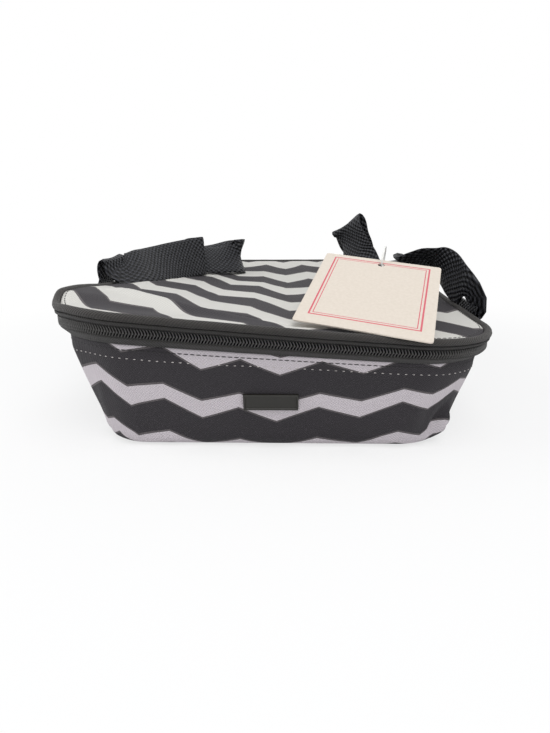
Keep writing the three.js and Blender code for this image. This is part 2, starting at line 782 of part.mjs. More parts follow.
const rightRoute = [
  [[-5.5, -84, -2], [-0.3, 0.95, 0]],
  [[-3, -79, 5], [-0.65, 0.75, -0.1]],
  [[3.5, -73, 11], [-0.8, 0.5, -0.3]],
  [[10.5, -65, 15], [-0.8, 0.35, -0.5]],
  [[17.5, -53, 16], [-0.6, 0.3, -0.75]],
  [[25.5, -34, 12], [-0.6, 0.1, -0.8]],
  [[34.5, -10, 6], [-0.9, 0, -0.45]],
  [[44.5, 16, 2.5], [-1, 0, -0.1]],
  [[53.5, 40, 4], [-1, 0, 0.1]],
  [[61.5, 58, 16], [-0.9, 0.4, 0]],
  [[65.5, 66, 32], [-0.7, 0.7, -0.2]],
  [[68.5, 72, 48], [-0.65, 0.7, -0.4]],
  [[62.5, 77, 46], [-0.5, 0.8, -0.2]],
  [[44.5, 79, 29], [-0.3, 1, 0.2]],
  [[16.5, 74, 14], [0, 1, 0.1]],
  [[-3, 66.5, 6], [0, 1, 0]],
];
add("handle_left", webbingLoop(-1, leftRoute), blackWebbing);
add("handle_right", webbingLoop(1, rightRoute), blackWebbing);

// Card, leaning over the right front of the lid, with the plastic loop in its punched hole
const card = new THREE.Group();
card.position.set(CARD_ASIDE, CARD_BACK - RIM_DEPTH / 2, RIM_HEIGHT + CARD_RAISE);
card.rotation.set(...CARD_TILT.map(THREE.MathUtils.degToRad), "ZYX");
tote.add(card);

function cardSheet() {
  const w = CARD_WIDTH / 2;
  const h = CARD_HEIGHT / 2;
  const r = CARD_CORNER;
  const shape = new THREE.Shape();
  shape.moveTo(-w + r, -h);
  shape.lineTo(w - r, -h).absarc(w - r, -h + r, r, -Math.PI / 2, 0);
  shape.lineTo(w, h - r).absarc(w - r, h - r, r, 0, Math.PI / 2);
  shape.lineTo(-w + r, h).absarc(-w + r, h - r, r, Math.PI / 2, Math.PI);
  shape.lineTo(-w, -h + r).absarc(-w + r, -h + r, r, Math.PI, 1.5 * Math.PI);
  const hole = new THREE.Path().absarc(0, h - CARD_HOLE_DROP, CARD_HOLE, 0, 2 * Math.PI, true);
  shape.holes.push(hole);
  const geometry = new THREE.ExtrudeGeometry(shape, { depth: CARD_THICK, bevelEnabled: false, curveSegments: 4 });
  return geometry.translate(0, 0, -CARD_THICK / 2);
}

function cardLoop() {
  const ring = new THREE.TorusGeometry(LOOP_RADIUS, LOOP_THICK / 2, 6, 20);
  ring.rotateY(Math.PI / 2);
  const bears = CARD_HOLE - LOOP_THICK / 2 - 2 * SEAM;
  return ring.translate(0, CARD_HEIGHT / 2 - CARD_HOLE_DROP + LOOP_RADIUS + bears, 0);
}

add("care_card", cardSheet(), creamCard, card);
add("card_loop", cardLoop(), clearPlastic, card);

export default tote;
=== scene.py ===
# %% [markdown]
# # An insulated zip-top tote
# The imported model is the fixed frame: every piece below is made in that frame, in its place, and
# then told which body it moves with. The frame's own box is kept first, so that it can be set
# against the dressed tote's.

# %% Load the frame
import math
import bpy
import numpy as np
from mathutils import Euler, Matrix, Vector, noise


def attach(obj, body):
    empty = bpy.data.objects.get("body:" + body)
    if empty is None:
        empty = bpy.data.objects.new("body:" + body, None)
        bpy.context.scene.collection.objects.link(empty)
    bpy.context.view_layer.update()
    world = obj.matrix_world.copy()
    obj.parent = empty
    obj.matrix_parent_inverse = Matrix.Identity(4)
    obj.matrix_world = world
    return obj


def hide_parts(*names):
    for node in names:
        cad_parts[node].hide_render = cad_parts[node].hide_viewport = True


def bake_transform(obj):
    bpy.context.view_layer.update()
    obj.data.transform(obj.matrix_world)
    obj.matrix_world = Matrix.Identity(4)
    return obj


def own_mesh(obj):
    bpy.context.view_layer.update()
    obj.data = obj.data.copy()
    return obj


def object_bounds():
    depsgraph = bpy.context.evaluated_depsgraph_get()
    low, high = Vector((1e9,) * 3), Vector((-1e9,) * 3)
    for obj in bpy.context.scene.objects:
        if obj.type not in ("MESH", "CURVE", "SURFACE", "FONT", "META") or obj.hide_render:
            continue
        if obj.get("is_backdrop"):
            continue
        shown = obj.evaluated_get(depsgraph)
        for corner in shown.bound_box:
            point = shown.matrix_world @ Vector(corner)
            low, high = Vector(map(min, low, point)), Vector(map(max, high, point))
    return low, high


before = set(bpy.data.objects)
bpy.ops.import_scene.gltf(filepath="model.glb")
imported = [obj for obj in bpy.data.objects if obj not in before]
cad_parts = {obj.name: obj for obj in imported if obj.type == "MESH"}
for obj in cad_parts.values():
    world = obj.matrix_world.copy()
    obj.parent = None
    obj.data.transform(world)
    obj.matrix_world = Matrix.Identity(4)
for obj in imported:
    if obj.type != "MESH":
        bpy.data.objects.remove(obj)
cad_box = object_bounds()

# %% [markdown]
# ## The camera and the light
# The photograph was taken close to the tote with a wide lens, so the near rim looms and the far
# one shrinks. A camera found by fitting the rim, base and card gives that look. The light is one
# broad lamp above and in front and a weaker one from the left, over an even grey sky, so colours
# come out as they are written.

# %% Camera
MM = 0.001
FOCAL_PX, IMAGE_HEIGHT_PX, SENSOR_MM = 500.0, 733.0, 36
EYE = Vector((11.2, -463.8, 146.1)) * MM
PITCH, YAW, ROLL = (math.radians(a) for a in (16.97, -1.69, 0.34))

forward = Vector((math.sin(YAW) * math.cos(PITCH), math.cos(YAW) * math.cos(PITCH),
                  -math.sin(PITCH)))
level = Vector((math.cos(YAW), -math.sin(YAW), 0))
down = forward.cross(level)
right = math.cos(ROLL) * level + math.sin(ROLL) * down
up = math.sin(ROLL) * level - math.cos(ROLL) * down

camera = bpy.data.objects.new("camera", bpy.data.cameras.new("camera"))
bpy.context.collection.objects.link(camera)
turned = Matrix((right, up, -forward)).transposed().to_4x4()
camera.matrix_world = Matrix.Translation(EYE) @ turned
camera.data.sensor_width = SENSOR_MM
camera.data.lens = SENSOR_MM * FOCAL_PX / IMAGE_HEIGHT_PX
camera.data.clip_start = 0.01
scene = bpy.context.scene
scene.camera = camera
scene.view_settings.view_transform = "Standard"
print("lens", round(camera.data.lens, 2), "mm")


# %% Helpers for colours, nodes and materials
MATERIALS = {}


def colour(code):
    """An sRGB hex value as linear light."""
    parts = [int(code[i:i + 2], 16) / 255 for i in (1, 3, 5)]
    linear = [c / 12.92 if c <= 0.04045 else ((c + 0.055) / 1.055) ** 2.4 for c in parts]
    return (*linear, 1.0)


def join(tree, node, inputs):
    """Fills or links a node's inputs. A node as a value stands for its first output in use."""
    for socket, value in inputs.items():
        if isinstance(value, bpy.types.Node):
            value = next(output for output in value.outputs if output.enabled)
        if isinstance(value, bpy.types.NodeSocket):
            tree.links.new(value, node.inputs[socket])
        else:
            node.inputs[socket].default_value = value


def add_node(tree, kind, inputs=None, **settings):
    """Adds a shader node, sets it up, and fills its inputs by name or number."""
    made = tree.nodes.new("ShaderNode" + kind)
    for key, value in settings.items():
        setattr(made, key, value)
    join(tree, made, inputs or {})
    return made


def new_material(name):
    """A new material, kept by its name: gives its node tree and its shader."""
    made = MATERIALS[name] = bpy.data.materials.new(name)
    made.use_nodes = True
    return made.node_tree, made.node_tree.nodes["Principled BSDF"]


# %% Lamps and sky
def lamp(name, place, target, size, power):
    """A square lamp that faces a target, in metres and watts."""
    made = bpy.data.objects.new(name, bpy.data.lights.new(name, "AREA"))
    made.data.energy, made.data.size = power, size
    made.location = place
    made.rotation_euler = (Vector(target) - Vector(place)).to_track_quat("-Z", "Y").to_euler()
    bpy.context.collection.objects.link(made)


TOTE_MIDDLE = (0, 0, 0.05)
lamp("key_lamp", (0.25, -0.75, 1.35), TOTE_MIDDLE, size=1.0, power=13)
lamp("side_lamp", (-1.2, -0.3, 0.8), TOTE_MIDDLE, size=0.9, power=6)

world = bpy.data.worlds.new("studio")
scene.world = world
world.use_nodes = True
sky = world.node_tree
sky.nodes.clear()
rays = add_node(sky, "LightPath").outputs
seen = rays["Is Camera Ray"]
for ray in ("Is Glossy Ray", "Is Transmission Ray"):
    seen = add_node(sky, "Math", {0: seen, 1: rays[ray]}, operation="MAXIMUM")
even = add_node(sky, "Background", {"Color": colour("#e9ebee"), "Strength": 0.55})
white = add_node(sky, "Background", {"Color": (1, 1, 1, 1), "Strength": 1.0})
shown = add_node(sky, "MixShader", {0: seen, 1: even, 2: white})
add_node(sky, "OutputWorld", {"Surface": shown})

# %% Floor
FLOOR_HALF, FLOOR_DROP = 6, 0.0005
SHADOW_NEAR, SHADOW_FAR, NEAR_GLOW = 0.2, 0.55, 0.72

floor_mesh = bpy.data.meshes.new("floor")
floor_mesh.from_pydata([(x * FLOOR_HALF, y * FLOOR_HALF, 0) for x, y in
                        ((-1, -1), (1, -1), (1, 1), (-1, 1))], [], [(0, 1, 2, 3)])
floor = bpy.data.objects.new("floor", floor_mesh)
bpy.context.collection.objects.link(floor)
floor.location.z = -FLOOR_DROP
floor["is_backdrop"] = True
tree, _ = new_material("seamless_white_paper")
tree.nodes.clear()
matt = add_node(tree, "BsdfDiffuse", {"Color": colour("#f4f4f4")})
glow = add_node(tree, "Emission", {"Color": (1, 1, 1, 1), "Strength": 1.0})
# The paper keeps the shadow near the tote, and is as white as the sky further off
place = add_node(tree, "TexCoord").outputs["Object"]
away = add_node(tree, "VectorMath", {0: place}, operation="LENGTH")
fade = add_node(tree, "MapRange", {"Value": away, "From Min": SHADOW_NEAR, "From Max": SHADOW_FAR,
                                   "To Min": NEAR_GLOW, "To Max": 1.0},
                interpolation_type="SMOOTHSTEP")
camera_ray = add_node(tree, "LightPath").outputs["Is Camera Ray"]
share = add_node(tree, "Math", {0: camera_ray, 1: fade}, operation="MULTIPLY")
both = add_node(tree, "MixShader", {0: share, 1: matt, 2: glow})
add_node(tree, "OutputMaterial", {"Surface": both})
floor_mesh.materials.append(MATERIALS["seamless_white_paper"])
print("floor is", 2 * FLOOR_HALF, "m wide")

# %% [markdown]
# ## The tote's outline
# Every piece of the tub and lid follows one outline, a rounded rectangle. A place on it is a
# distance from the middle of the rear, round by the left side. Sizes are in millimetres and are
# those of the frame. Blender could draw the line as a curve. A function is used, because every
# piece has to find its own place on it.

# %% Sizes and the outline
WIDTH, DEPTH, HEIGHT, CORNER = 285.0, 385.0, 90.0, 60.0
# Half the straight part of the front and rear, and of the two sides
HALF_X, HALF_Y = WIDTH / 2 - CORNER, DEPTH / 2 - CORNER
CHAIN_INSET, CHAIN_MIDDLE = 2.0, 79.3
WALL_TOP, WALL_TOP_INSET = 71.5, 8.2
BASE_INSET, BASE_ROLL = 25.0, 10.0
ARC = (CORNER - CHAIN_INSET) * math.pi / 2
LOOP = 4 * HALF_X + 4 * HALF_Y + 4 * ARC
FRONT_MIDDLE = LOOP / 2

# Each run: its length, where its centre starts and ends, and the angles that it faces there
RUNS = [
    (HALF_X, (0, 1), (-1, 1), 90, 90), (ARC, (-1, 1), (-1, 1), 90, 180),
    (2 * HALF_Y, (-1, 1), (-1, -1), 180, 180), (ARC, (-1, -1), (-1, -1), 180, 270),
    (2 * HALF_X, (-1, -1), (1, -1), 270, 270), (ARC, (1, -1), (1, -1), 270, 360),
    (2 * HALF_Y, (1, -1), (1, 1), 360, 360), (ARC, (1, 1), (1, 1), 360, 450),
    (HALF_X, (1, 1), (0, 1), 450, 450),
]


def outline(distance, inset):
    """Points of the outline at some distances, drawn in by an inset, and the way out at each."""
    gone = np.mod(np.asarray(distance, float), LOOP)
    centre, face = np.zeros((*gone.shape, 2)), np.zeros(gone.shape)
    start, touch = 0.0, 1e-9
    for length, a, b, turn_a, turn_b in RUNS:
        on = (gone >= start - touch) & (gone <= start + length + touch)
        t = ((gone[on] - start) / length)[..., None]
        centre[on] = (np.array(a) + np.subtract(b, a) * t) * [HALF_X, HALF_Y]
        face[on] = np.radians(turn_a + (turn_b - turn_a) * t[..., 0])
        start += length
    out = np.stack([np.cos(face), np.sin(face)], -1)
    return centre + out * (CORNER - np.asarray(inset, float))[..., None], out


def left_at(y):
    """The distance along the outline of a place on the left side."""
    return HALF_X + ARC + HALF_Y - y


# Where the four ends of the handles are sewn on
SEWN_Y = 65
SEWN_AT = {"left_front": left_at(-SEWN_Y), "left_rear": left_at(SEWN_Y),
           "right_front": LOOP - left_at(-SEWN_Y), "right_rear": LOOP - left_at(SEWN_Y)}
print("outline is", round(LOOP), "mm round at the zip")

# %% [markdown]
# An empty tote does not keep its cut shape. Its rim has sunk on the right and in the middle of
# the front, and the left handle has pulled it up behind the left front corner. Everything is made
# in the cut shape first and is then let down. A lattice or a cloth simulation could do that. A
# formula is surer, because the photo shows a few definite bends that all pieces follow.

# %% The settled rim
LEFT_RISE, MIDDLE_SINK, RIGHT_SINK = 9.5, 5.7, 14.6
LEFT_BULGE, BULGE_AT, BULGE_FRONT, BULGE_REAR = 10.0, -134.0, 18.0, 70.0


def smooth(t):
    """A soft step from 0 to 1."""
    c = np.clip(t, 0, 1)
    return c * c * (3 - 2 * c)


def lift(x, y):
    """How far the settled rim stands above or below its cut height."""
    across = np.clip(2 * x / WIDTH, -1, 1)
    to_left, to_right = (1 - across) / 2, (1 + across) / 2
    front, along = smooth((-HALF_Y - y) / CORNER), smooth(0.5 - y / DEPTH)
    risen = LEFT_RISE * to_left ** 2 - MIDDLE_SINK * (1 - across ** 2) / 2
    reach = np.where(y < BULGE_AT, BULGE_FRONT, BULGE_REAR)
    bulge = LEFT_BULGE * np.exp(-((y - BULGE_AT) / reach) ** 2) * to_left ** 3
    return front * risen - along * RIGHT_SINK * to_right ** 2 + bulge


def settle(points):
    """Lets points of the new-cut tote down to where the empty one has settled."""
    moved = np.array(points, float)
    moved[..., 2] += lift(moved[..., 0], moved[..., 1]) * np.minimum(moved[..., 2] / HEIGHT, 1)
    return moved


def at_height(flat, z):
    """Flat points brought to a height, or each to its own."""
    z = np.broadcast_to(np.asarray(z, float)[..., None], (*flat.shape[:-1], 1))
    return np.concatenate([flat, z], -1)


def swept(section, distances):
    """Carries a section of (inset, height) points along the outline: one row per distance."""
    flat, _ = outline(distances[:, None], section[:, 0])
    return settle(at_height(flat, section[:, 1]))


print("rim is", lift(-WIDTH / 2, BULGE_AT).round(1), "mm up at the left front")

# %% [markdown]
# ## From grids of points to pieces
# Most of the tote is cloth, and a sheet of cloth is a grid of points: rings, one row after the
# other. One helper makes the faces of such a loft, and the others turn it into a piece. Cloth gets
# a UV map in millimetres, so that every weave and print below has its real size.

# %% Lofts and pieces
def loft(rows, columns, closed=False, start=0):
    """Faces between rings of points. The last ring joins the first, or both are capped."""
    faces = []
    for r in range(rows if closed else rows - 1):
        a, b = start + r * columns, start + (r + 1) % rows * columns
        for c in range(columns):
            d = (c + 1) % columns
            faces.append((a + c, a + d, b + d, b + c))
    if not closed:
        last = start + (rows - 1) * columns
        faces += [tuple(range(start, start + columns))[::-1], tuple(range(last, last + columns))]
    return faces


def piece(name, points, faces, material, corner_uv=None):
    """A new closed piece from points in millimetres, with a UV for each corner of its faces."""
    mesh = bpy.data.meshes.new(name)
    mesh.from_pydata((np.asarray(points, float) * MM).tolist(), [], faces)
    if corner_uv is not None:
        cloth = np.asarray(corner_uv, np.float32).ravel()
        mesh.uv_layers.new(name="cloth_mm").data.foreach_set("uv", cloth)
    mesh.polygons.foreach_set("use_smooth", [True] * len(mesh.polygons))
    mesh.materials.append(MATERIALS[material])
    mesh.update()
    # Faces that look inwards enclose less than nothing
    if sum(face.center.dot(face.normal) * face.area for face in mesh.polygons) < 0:
        mesh.flip_normals()
    made = bpy.data.objects.new(name, mesh)
    bpy.context.collection.objects.link(made)
    return made


def grid_piece(name, grid, material, u, v, closed=False):
    """A loft of a grid. u and v give each row's and column's place on the cloth."""
    rows, columns = grid.shape[:2]
    faces = loft(rows, columns, closed)
    spans = rows if closed else rows - 1
    corner_uv = [(u[i], v[j]) for r in range(spans) for c in range(columns)
                 for i, j in ((r, c), (r, c + 1), (r + 1, c + 1), (r + 1, c))]
    caps = faces[spans * columns:]
    corner_uv += [(u[k // columns], v[k % columns]) for cap in caps for k in cap]
    return piece(name, grid.reshape(-1, 3), faces, material, corner_uv)


def lofts_piece(name, lofts, material, laid=True):
    """A piece of one or more like lofts. laid gives it a UV map as seen from above."""
    count, rows, columns, _ = lofts.shape
    points, faces = lofts.reshape(-1, 3), []
    for k in range(count):
        faces += loft(rows, columns, start=k * rows * columns)
    corner_uv = points[[k for face in faces for k in face], :2] if laid else None
    return piece(name, points, faces, material, corner_uv)


print("a loft of 3 rings of 8 points has", len(loft(3, 8)), "faces")


# %% Small helpers
def ruffle(p, size, seed):
    """A smooth, repeatable unevenness between about -1 and 1."""
    return noise.noise(Vector((p[0] / size, p[1] / size, p[2] / size + 7.3 * seed)))


def run_along(points):
    """How far each point is from the first, measured along the line of points."""
    return np.concatenate([[0], np.cumsum(np.linalg.norm(np.diff(points, axis=0), axis=1))])


def dress(made, body, slot, *nodes):
    """Says what a piece moves with and hides the nodes it stands for. slot is not used."""
    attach(made, body)
    if nodes:
        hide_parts(*nodes)
    print(made.name, len(made.data.polygons), "faces, rides", body)


# %% [markdown]
# ## Cloth finishes
# The tote's outside is plain-woven polyester canvas, printed with zigzag stripes. The print has
# its own UV map, which counts zigzags along the cloth and stripes across it, so a piece can carry
# the print bowed or aslant, as it was cut. In the shader a triangle wave shifts the stripes up and
# down. A thin grey edge lies between the charcoal and the off-white, as where two inks overlap.
# An image could carry it, but a formula stays sharp from close by. Threads of this cloth are about
# 0.5 mm apart. They are drawn at twice that, so that the render shows them.

# %% Printed canvas
CANVAS_THREAD = 1.05
# Where a stripe's grey edges lie: after its off-white, and before the next
EDGE_AFTER, EDGE_BEFORE = 0.04, 0.965


def thread_waves(tree, ways, thread_mm):
    """A wave along the second way of the cloth, and waves along both ways multiplied."""
    waves = []
    for way in ways:
        angle = add_node(tree, "Math", {0: way, 1: math.pi / thread_mm}, operation="MULTIPLY")
        waves.append(add_node(tree, "Math", {0: angle}, operation="SINE"))
    return waves[1], add_node(tree, "Math", {0: waves[0], 1: waves[1]}, operation="MULTIPLY")


def zigzag_canvas(name, swing, thin, wide, pale_tone):
    """swing is a zigzag's height, thin and wide its off-white at peaks and valleys, in stripes."""
    tree, shader = new_material(name)
    layout = add_node(tree, "UVMap", uv_map="print")
    along, across, _ = add_node(tree, "SeparateXYZ", {0: layout}).outputs
    half = add_node(tree, "Math", {0: along, 1: 0.5}, operation="PINGPONG")
    wave = add_node(tree, "Math", {0: half, 1: 2.0}, operation="MULTIPLY")
    raised = add_node(tree, "Math", {0: wave, 1: swing, 2: across}, operation="MULTIPLY_ADD")
    stripe = add_node(tree, "Math", {0: raised}, operation="FRACT")
    width = add_node(tree, "Math", {0: wave, 1: wide - thin, 2: thin}, operation="MULTIPLY_ADD")
    pale = add_node(tree, "Math", {0: stripe, 1: width}, operation="LESS_THAN")
    rim = add_node(tree, "Math", {0: width, 1: EDGE_AFTER}, operation="ADD")
    near = add_node(tree, "Math", {0: stripe, 1: rim}, operation="LESS_THAN")
    far = add_node(tree, "Math", {0: stripe, 1: EDGE_BEFORE}, operation="GREATER_THAN")
    both = add_node(tree, "Math", {0: near, 1: far}, operation="MAXIMUM")
    edge = add_node(tree, "Math", {0: both, 1: pale}, operation="SUBTRACT")

    # Dyed threads are never quite even, so the charcoal is flecked
    cloth = add_node(tree, "UVMap", uv_map="cloth_mm")
    fleck = add_node(tree, "TexNoise", {"Vector": cloth, "Scale": 0.9, "Detail": 3.0})
    tone = colour("#1d1a1d")
    for factor, over in ((fleck, "#383439"), (pale, pale_tone), (edge, "#5d5859")):
        tone = add_node(tree, "Mix", {"Factor": factor, "A": tone, "B": colour(over)},
                        data_type="RGBA")
    ways = add_node(tree, "SeparateXYZ", {0: cloth}).outputs[:2]
    _, weave = thread_waves(tree, ways, CANVAS_THREAD)
    # Painted shade and highlight: the weave's hollows are darker and its crowns lighter, as light
    # falls on the threads.
    shade = add_node(tree, "Math", {0: weave, 1: 0.09, 2: 0.93}, operation="MULTIPLY_ADD")
    tone = add_node(tree, "Mix", {"Factor": 1.0, "A": tone, "B": shade}, data_type="RGBA",
                    blend_type="MULTIPLY")
    bump = add_node(tree, "Bump", {"Height": weave, "Strength": 0.5, "Distance": 0.4 * MM})
    join(tree, shader, {"Base Color": tone, "Normal": bump, "Roughness": 0.85,
                        "Sheen Weight": 0.04})
    print(name, "has", len(tree.nodes), "nodes")


# The wall's off-white is painted a little darker than the lid's: painted shade on the upright
# wall.
zigzag_canvas("polyester_canvas_wall", swing=0.29, thin=0.28, wide=0.35, pale_tone="#d4ccd1")
zigzag_canvas("polyester_canvas_lid", swing=0.34, thin=0.40, wide=0.50, pale_tone="#dcdad4")

# %% The print's layout
CLOTH_TOP, RISE_PER_MM = 70, 0.965
WALL_ZIGZAG, WALL_STRIPE, WALL_STRIPE_FROM, WALL_BOW = 48.5, 35.5, 31.5, 8
PRINT_SHIFT = 18
LID_ZIGZAG, LID_ZIGZAG_GROWTH = 52, 0.042
SLANT, SLANT_FROM, SLANT_OVER = 0.95, 110, 130
STRIPES_TO_MIDDLE, STRIPES_PER_MM, STRIPES_THINNING = 2.13, 0.0128, 6e-6


def uneven(u, v, seed):
    """A slow, smooth unevenness between -1 and 1, as of a print drawn by hand."""
    return (np.sin(u / 23 + 1.7 * seed) + np.sin(u / 41 - v / 29 + 2.3 * seed)
            + np.sin(v / 17 + u / 67 + seed)) / 3


def wall_layout(u, v):
    """Even zigzags and stripes, bowed up towards the corners."""
    height = WALL_TOP - (CLOTH_TOP - v) * RISE_PER_MM
    bow = WALL_BOW * (1 - np.cos(2 * math.pi * u / (LOOP / 4)))
    zigzags = (u + PRINT_SHIFT + 3 * uneven(u, v, 1)) / WALL_ZIGZAG
    return zigzags, (height - bow - WALL_STRIPE_FROM + 1.3 * uneven(u, v, 2)) / WALL_STRIPE


def lid_layout(x, y):
    """Stripes aslant at the front and left, level at the rear, and closer together in front."""
    slant = SLANT * np.clip((SLANT_FROM - y - 0.9 * x) / SLANT_OVER, 0, 1)
    # The slant is weaker on the right
    aside = np.where(x < 10, x, 10 + 0.3 * (x - 10))
    level_y = y + aside * slant
    zigzags = (x + PRINT_SHIFT + 4 * uneven(x, y, 3)) / (LID_ZIGZAG - LID_ZIGZAG_GROWTH * y)
    stripes = STRIPES_TO_MIDDLE + STRIPES_PER_MM * level_y - STRIPES_THINNING * level_y ** 2
    return zigzags, stripes + 0.04 * uneven(x, y, 4)


def lay_print(made, layout):
    """Adds the print's own UV map, worked out from where each corner lies on the cloth."""
    layers = made.data.uv_layers
    cloth = np.zeros(2 * len(made.data.loops), np.float32)
    layers["cloth_mm"].data.foreach_get("uv", cloth)
    counted = np.stack(layout(*cloth.reshape(-1, 2).T.astype(float)), -1)
    layers.new(name="print").data.foreach_set("uv", counted.astype(np.float32).ravel())
    print(made.name, "carries", np.ptp(counted, axis=0).round(1), "zigzags and stripes")


# %% [markdown]
# Webbing, binding, zip tape and plain canvas are woven too, in one dark colour each. They differ
# in the size of the weave and in how deep it is: coarse, shiny basket weave on the webbing, fine
# twill on the binding and tape. Each weave's thread crowns are painted lighter and its hollows
# darker: a painted highlight and painted shade.


# %% Plain weaves
def plain_weave(name, dark, light, thread_mm, depth_mm, roughness, twill=False, sheen=0.1,
                shine=0.5, painted_highlight=0.28, base=0.0):
    """A one-colour weave. A twill's ridges run aslant; a basket weave's threads cross square."""
    tree, shader = new_material(name)
    cloth = add_node(tree, "UVMap", uv_map="cloth_mm")
    along, across, _ = add_node(tree, "SeparateXYZ", {0: cloth}).outputs
    if twill:
        across = add_node(tree, "Math", {0: along, 1: across}, operation="ADD")
    ridges, crossed = thread_waves(tree, (along, across), thread_mm)
    height = ridges if twill else crossed
    fleck = add_node(tree, "TexNoise", {"Vector": cloth, "Scale": 0.35, "Detail": 4.0})
    ground = add_node(tree, "Math", {0: fleck, 1: base}, operation="ADD")
    # Painted highlight and shade: the threads' crowns are lighter and their hollows darker, as
    # light falls on them. The flecks are the threads' own uneven dye.
    fleck_and_painted_highlight = add_node(tree, "Math", {0: height, 1: painted_highlight, 2: ground},
                         operation="MULTIPLY_ADD")
    tone = add_node(tree, "Mix", {"Factor": fleck_and_painted_highlight, "A": colour(dark), "B": colour(light)},
                    data_type="RGBA", clamp_factor=True)
    bump = add_node(tree, "Bump", {"Height": height, "Strength": 0.7, "Distance": depth_mm * MM})
    join(tree, shader, {"Base Color": tone, "Normal": bump, "Roughness": roughness,
                        "Sheen Weight": sheen, "Specular IOR Level": shine})
    print(name, "has threads of", thread_mm, "mm")


plain_weave("polypropylene_webbing", "#020203", "#4b4c52", 2.3, 1.2, 0.42, sheen=0.0, shine=0.25,
            painted_highlight=0.55, base=-0.25)
plain_weave("polyester_binding_twill", "#161412", "#322e2b", 0.9, 0.25, 0.75, twill=True)
plain_weave("polyester_zip_tape", "#141312", "#2a2725", 0.8, 0.2, 0.8, twill=True)
plain_weave("polyester_canvas_plain", "#1f1d1e", "#383436", 1.0, 0.25, 0.85)
plain_weave("polyester_thread_dark", "#141314", "#2e2b2d", 0.4, 0.1, 0.7, twill=True)
plain_weave("polyester_thread_pale", "#b9b2b0", "#e4dedb", 0.4, 0.1, 0.7, twill=True)

# %% [markdown]
# The rest is plastic, metal and card. Zip teeth are a nylon coil, which is smooth and a little
# glossy. The slider is die-cast and enamelled black. The label is moulded rubber with a fine
# grain. The lining is a heat-welded film with a silver face, which is why it is a dull metal here,
# with soft creases. The card is coated board with a ruled border.


# %% Plastic, metal and lining
def grained(name, dark, light, grain_mm, depth_mm, roughness, metallic=0.0, ior=1.5):
    """A material with a fine irregular surface: tone and height follow the same grain."""
    tree, shader = new_material(name)
    place = add_node(tree, "TexCoord").outputs["Object"]
    grain = add_node(tree, "TexNoise", {"Vector": place, "Scale": 1 / (grain_mm * MM),
                                        "Detail": 3.0})
    tone = add_node(tree, "Mix", {"Factor": grain, "A": colour(dark), "B": colour(light)},
                    data_type="RGBA")
    bump = add_node(tree, "Bump", {"Height": grain, "Strength": 0.5, "Distance": depth_mm * MM})
    join(tree, shader, {"Base Color": tone, "Normal": bump, "Roughness": roughness,
                        "Metallic": metallic, "IOR": ior})
    print(name, "has a grain of", grain_mm, "mm")


grained("nylon_coil", "#2a2928", "#454341", 1.5, 0.1, 0.32, ior=1.53)
grained("black_enamel", "#26262a", "#3a3a3e", 2.0, 0.05, 0.3)
grained("moulded_rubber", "#141310", "#232119", 0.8, 0.12, 0.5, ior=1.52)
grained("silver_lining_film", "#a9adb1", "#c9ccce", 9.0, 0.8, 0.38, metallic=0.55)
grained("white_nylon_loop", "#e6e6e2", "#f4f4f1", 3.0, 0.05, 0.35, ior=1.53)

# %% Board with a ruled border
CARD_PLACE, CARD_TURN = (64.1, -145.4, 98.4), (19.4, 6.45, -14.6)
CARD_WIDTH, CARD_HEIGHT = 80.0, 95.0
# Each ruled line's distance from the edge and half width, and how far the frame sits above middle
RULES, RULED_UP = ((7.5, 0.55), (9.6, 0.3)), 2.5

tree, shader = new_material("coated_board")
place = add_node(tree, "TexCoord").outputs["Object"]
flat = add_node(tree, "Mapping", {
    "Vector": place, "Location": [c * MM for c in CARD_PLACE],
    "Rotation": [math.radians(a) for a in CARD_TURN], "Scale": (MM, MM, MM)},
    vector_type="TEXTURE")
parts = add_node(tree, "SeparateXYZ", {0: flat}).outputs
gaps = []
for part, half, off in ((parts[0], CARD_WIDTH / 2, 0.0), (parts[1], CARD_HEIGHT / 2, -RULED_UP)):
    from_middle = add_node(tree, "Math", {0: part, 1: off}, operation="ADD")
    size = add_node(tree, "Math", {0: from_middle}, operation="ABSOLUTE")
    gaps.append(add_node(tree, "Math", {0: half, 1: size}, operation="SUBTRACT"))
edge = add_node(tree, "Math", {0: gaps[0], 1: gaps[1]}, operation="MINIMUM")
lines = [add_node(tree, "Math", {0: edge, 1: middle, 2: half}, operation="COMPARE")
         for middle, half in RULES]
ruled = add_node(tree, "Math", {0: lines[0], 1: lines[1]}, operation="MAXIMUM")
fibre = add_node(tree, "TexNoise", {"Vector": flat, "Scale": 0.5, "Detail": 4.0})
board = add_node(tree, "Mix", {"Factor": fibre, "A": colour("#d3c8ba"), "B": colour("#e2d8cc")},
                 data_type="RGBA")
inked = add_node(tree, "Mix", {"Factor": ruled, "A": board, "B": colour("#cf5f6d")},
                 data_type="RGBA")
bump = add_node(tree, "Bump", {"Height": fibre, "Strength": 0.15, "Distance": 0.1 * MM})
join(tree, shader, {"Base Color": inked, "Normal": bump, "Roughness": 0.6})
print("finishes:", len(MATERIALS))

# %% [markdown]
# ## The tub's wall
# The wall is canvas over foam, one padded band that rolls under at the base. A plain sweep would
# look like moulded plastic, so the outside is pushed in and out: broad slack between the corners,
# upright buckles where the band turns, and one pinched fold low on the right front corner, where
# the empty tote leans on it.

# %% The wall's section
FINE = np.linspace(0, LOOP, 400, endpoint=False)
FINE_U = np.append(FINE, LOOP) - FRONT_MIDDLE
WALL_THICK, SEWN_REACH = 5.7, 24


def wall_inset(z):
    """How far the sloping wall stands in from the outline at a height."""
    share = (WALL_TOP - z) / (WALL_TOP - BASE_ROLL)
    return WALL_TOP_INSET + (BASE_INSET - WALL_TOP_INSET) * share


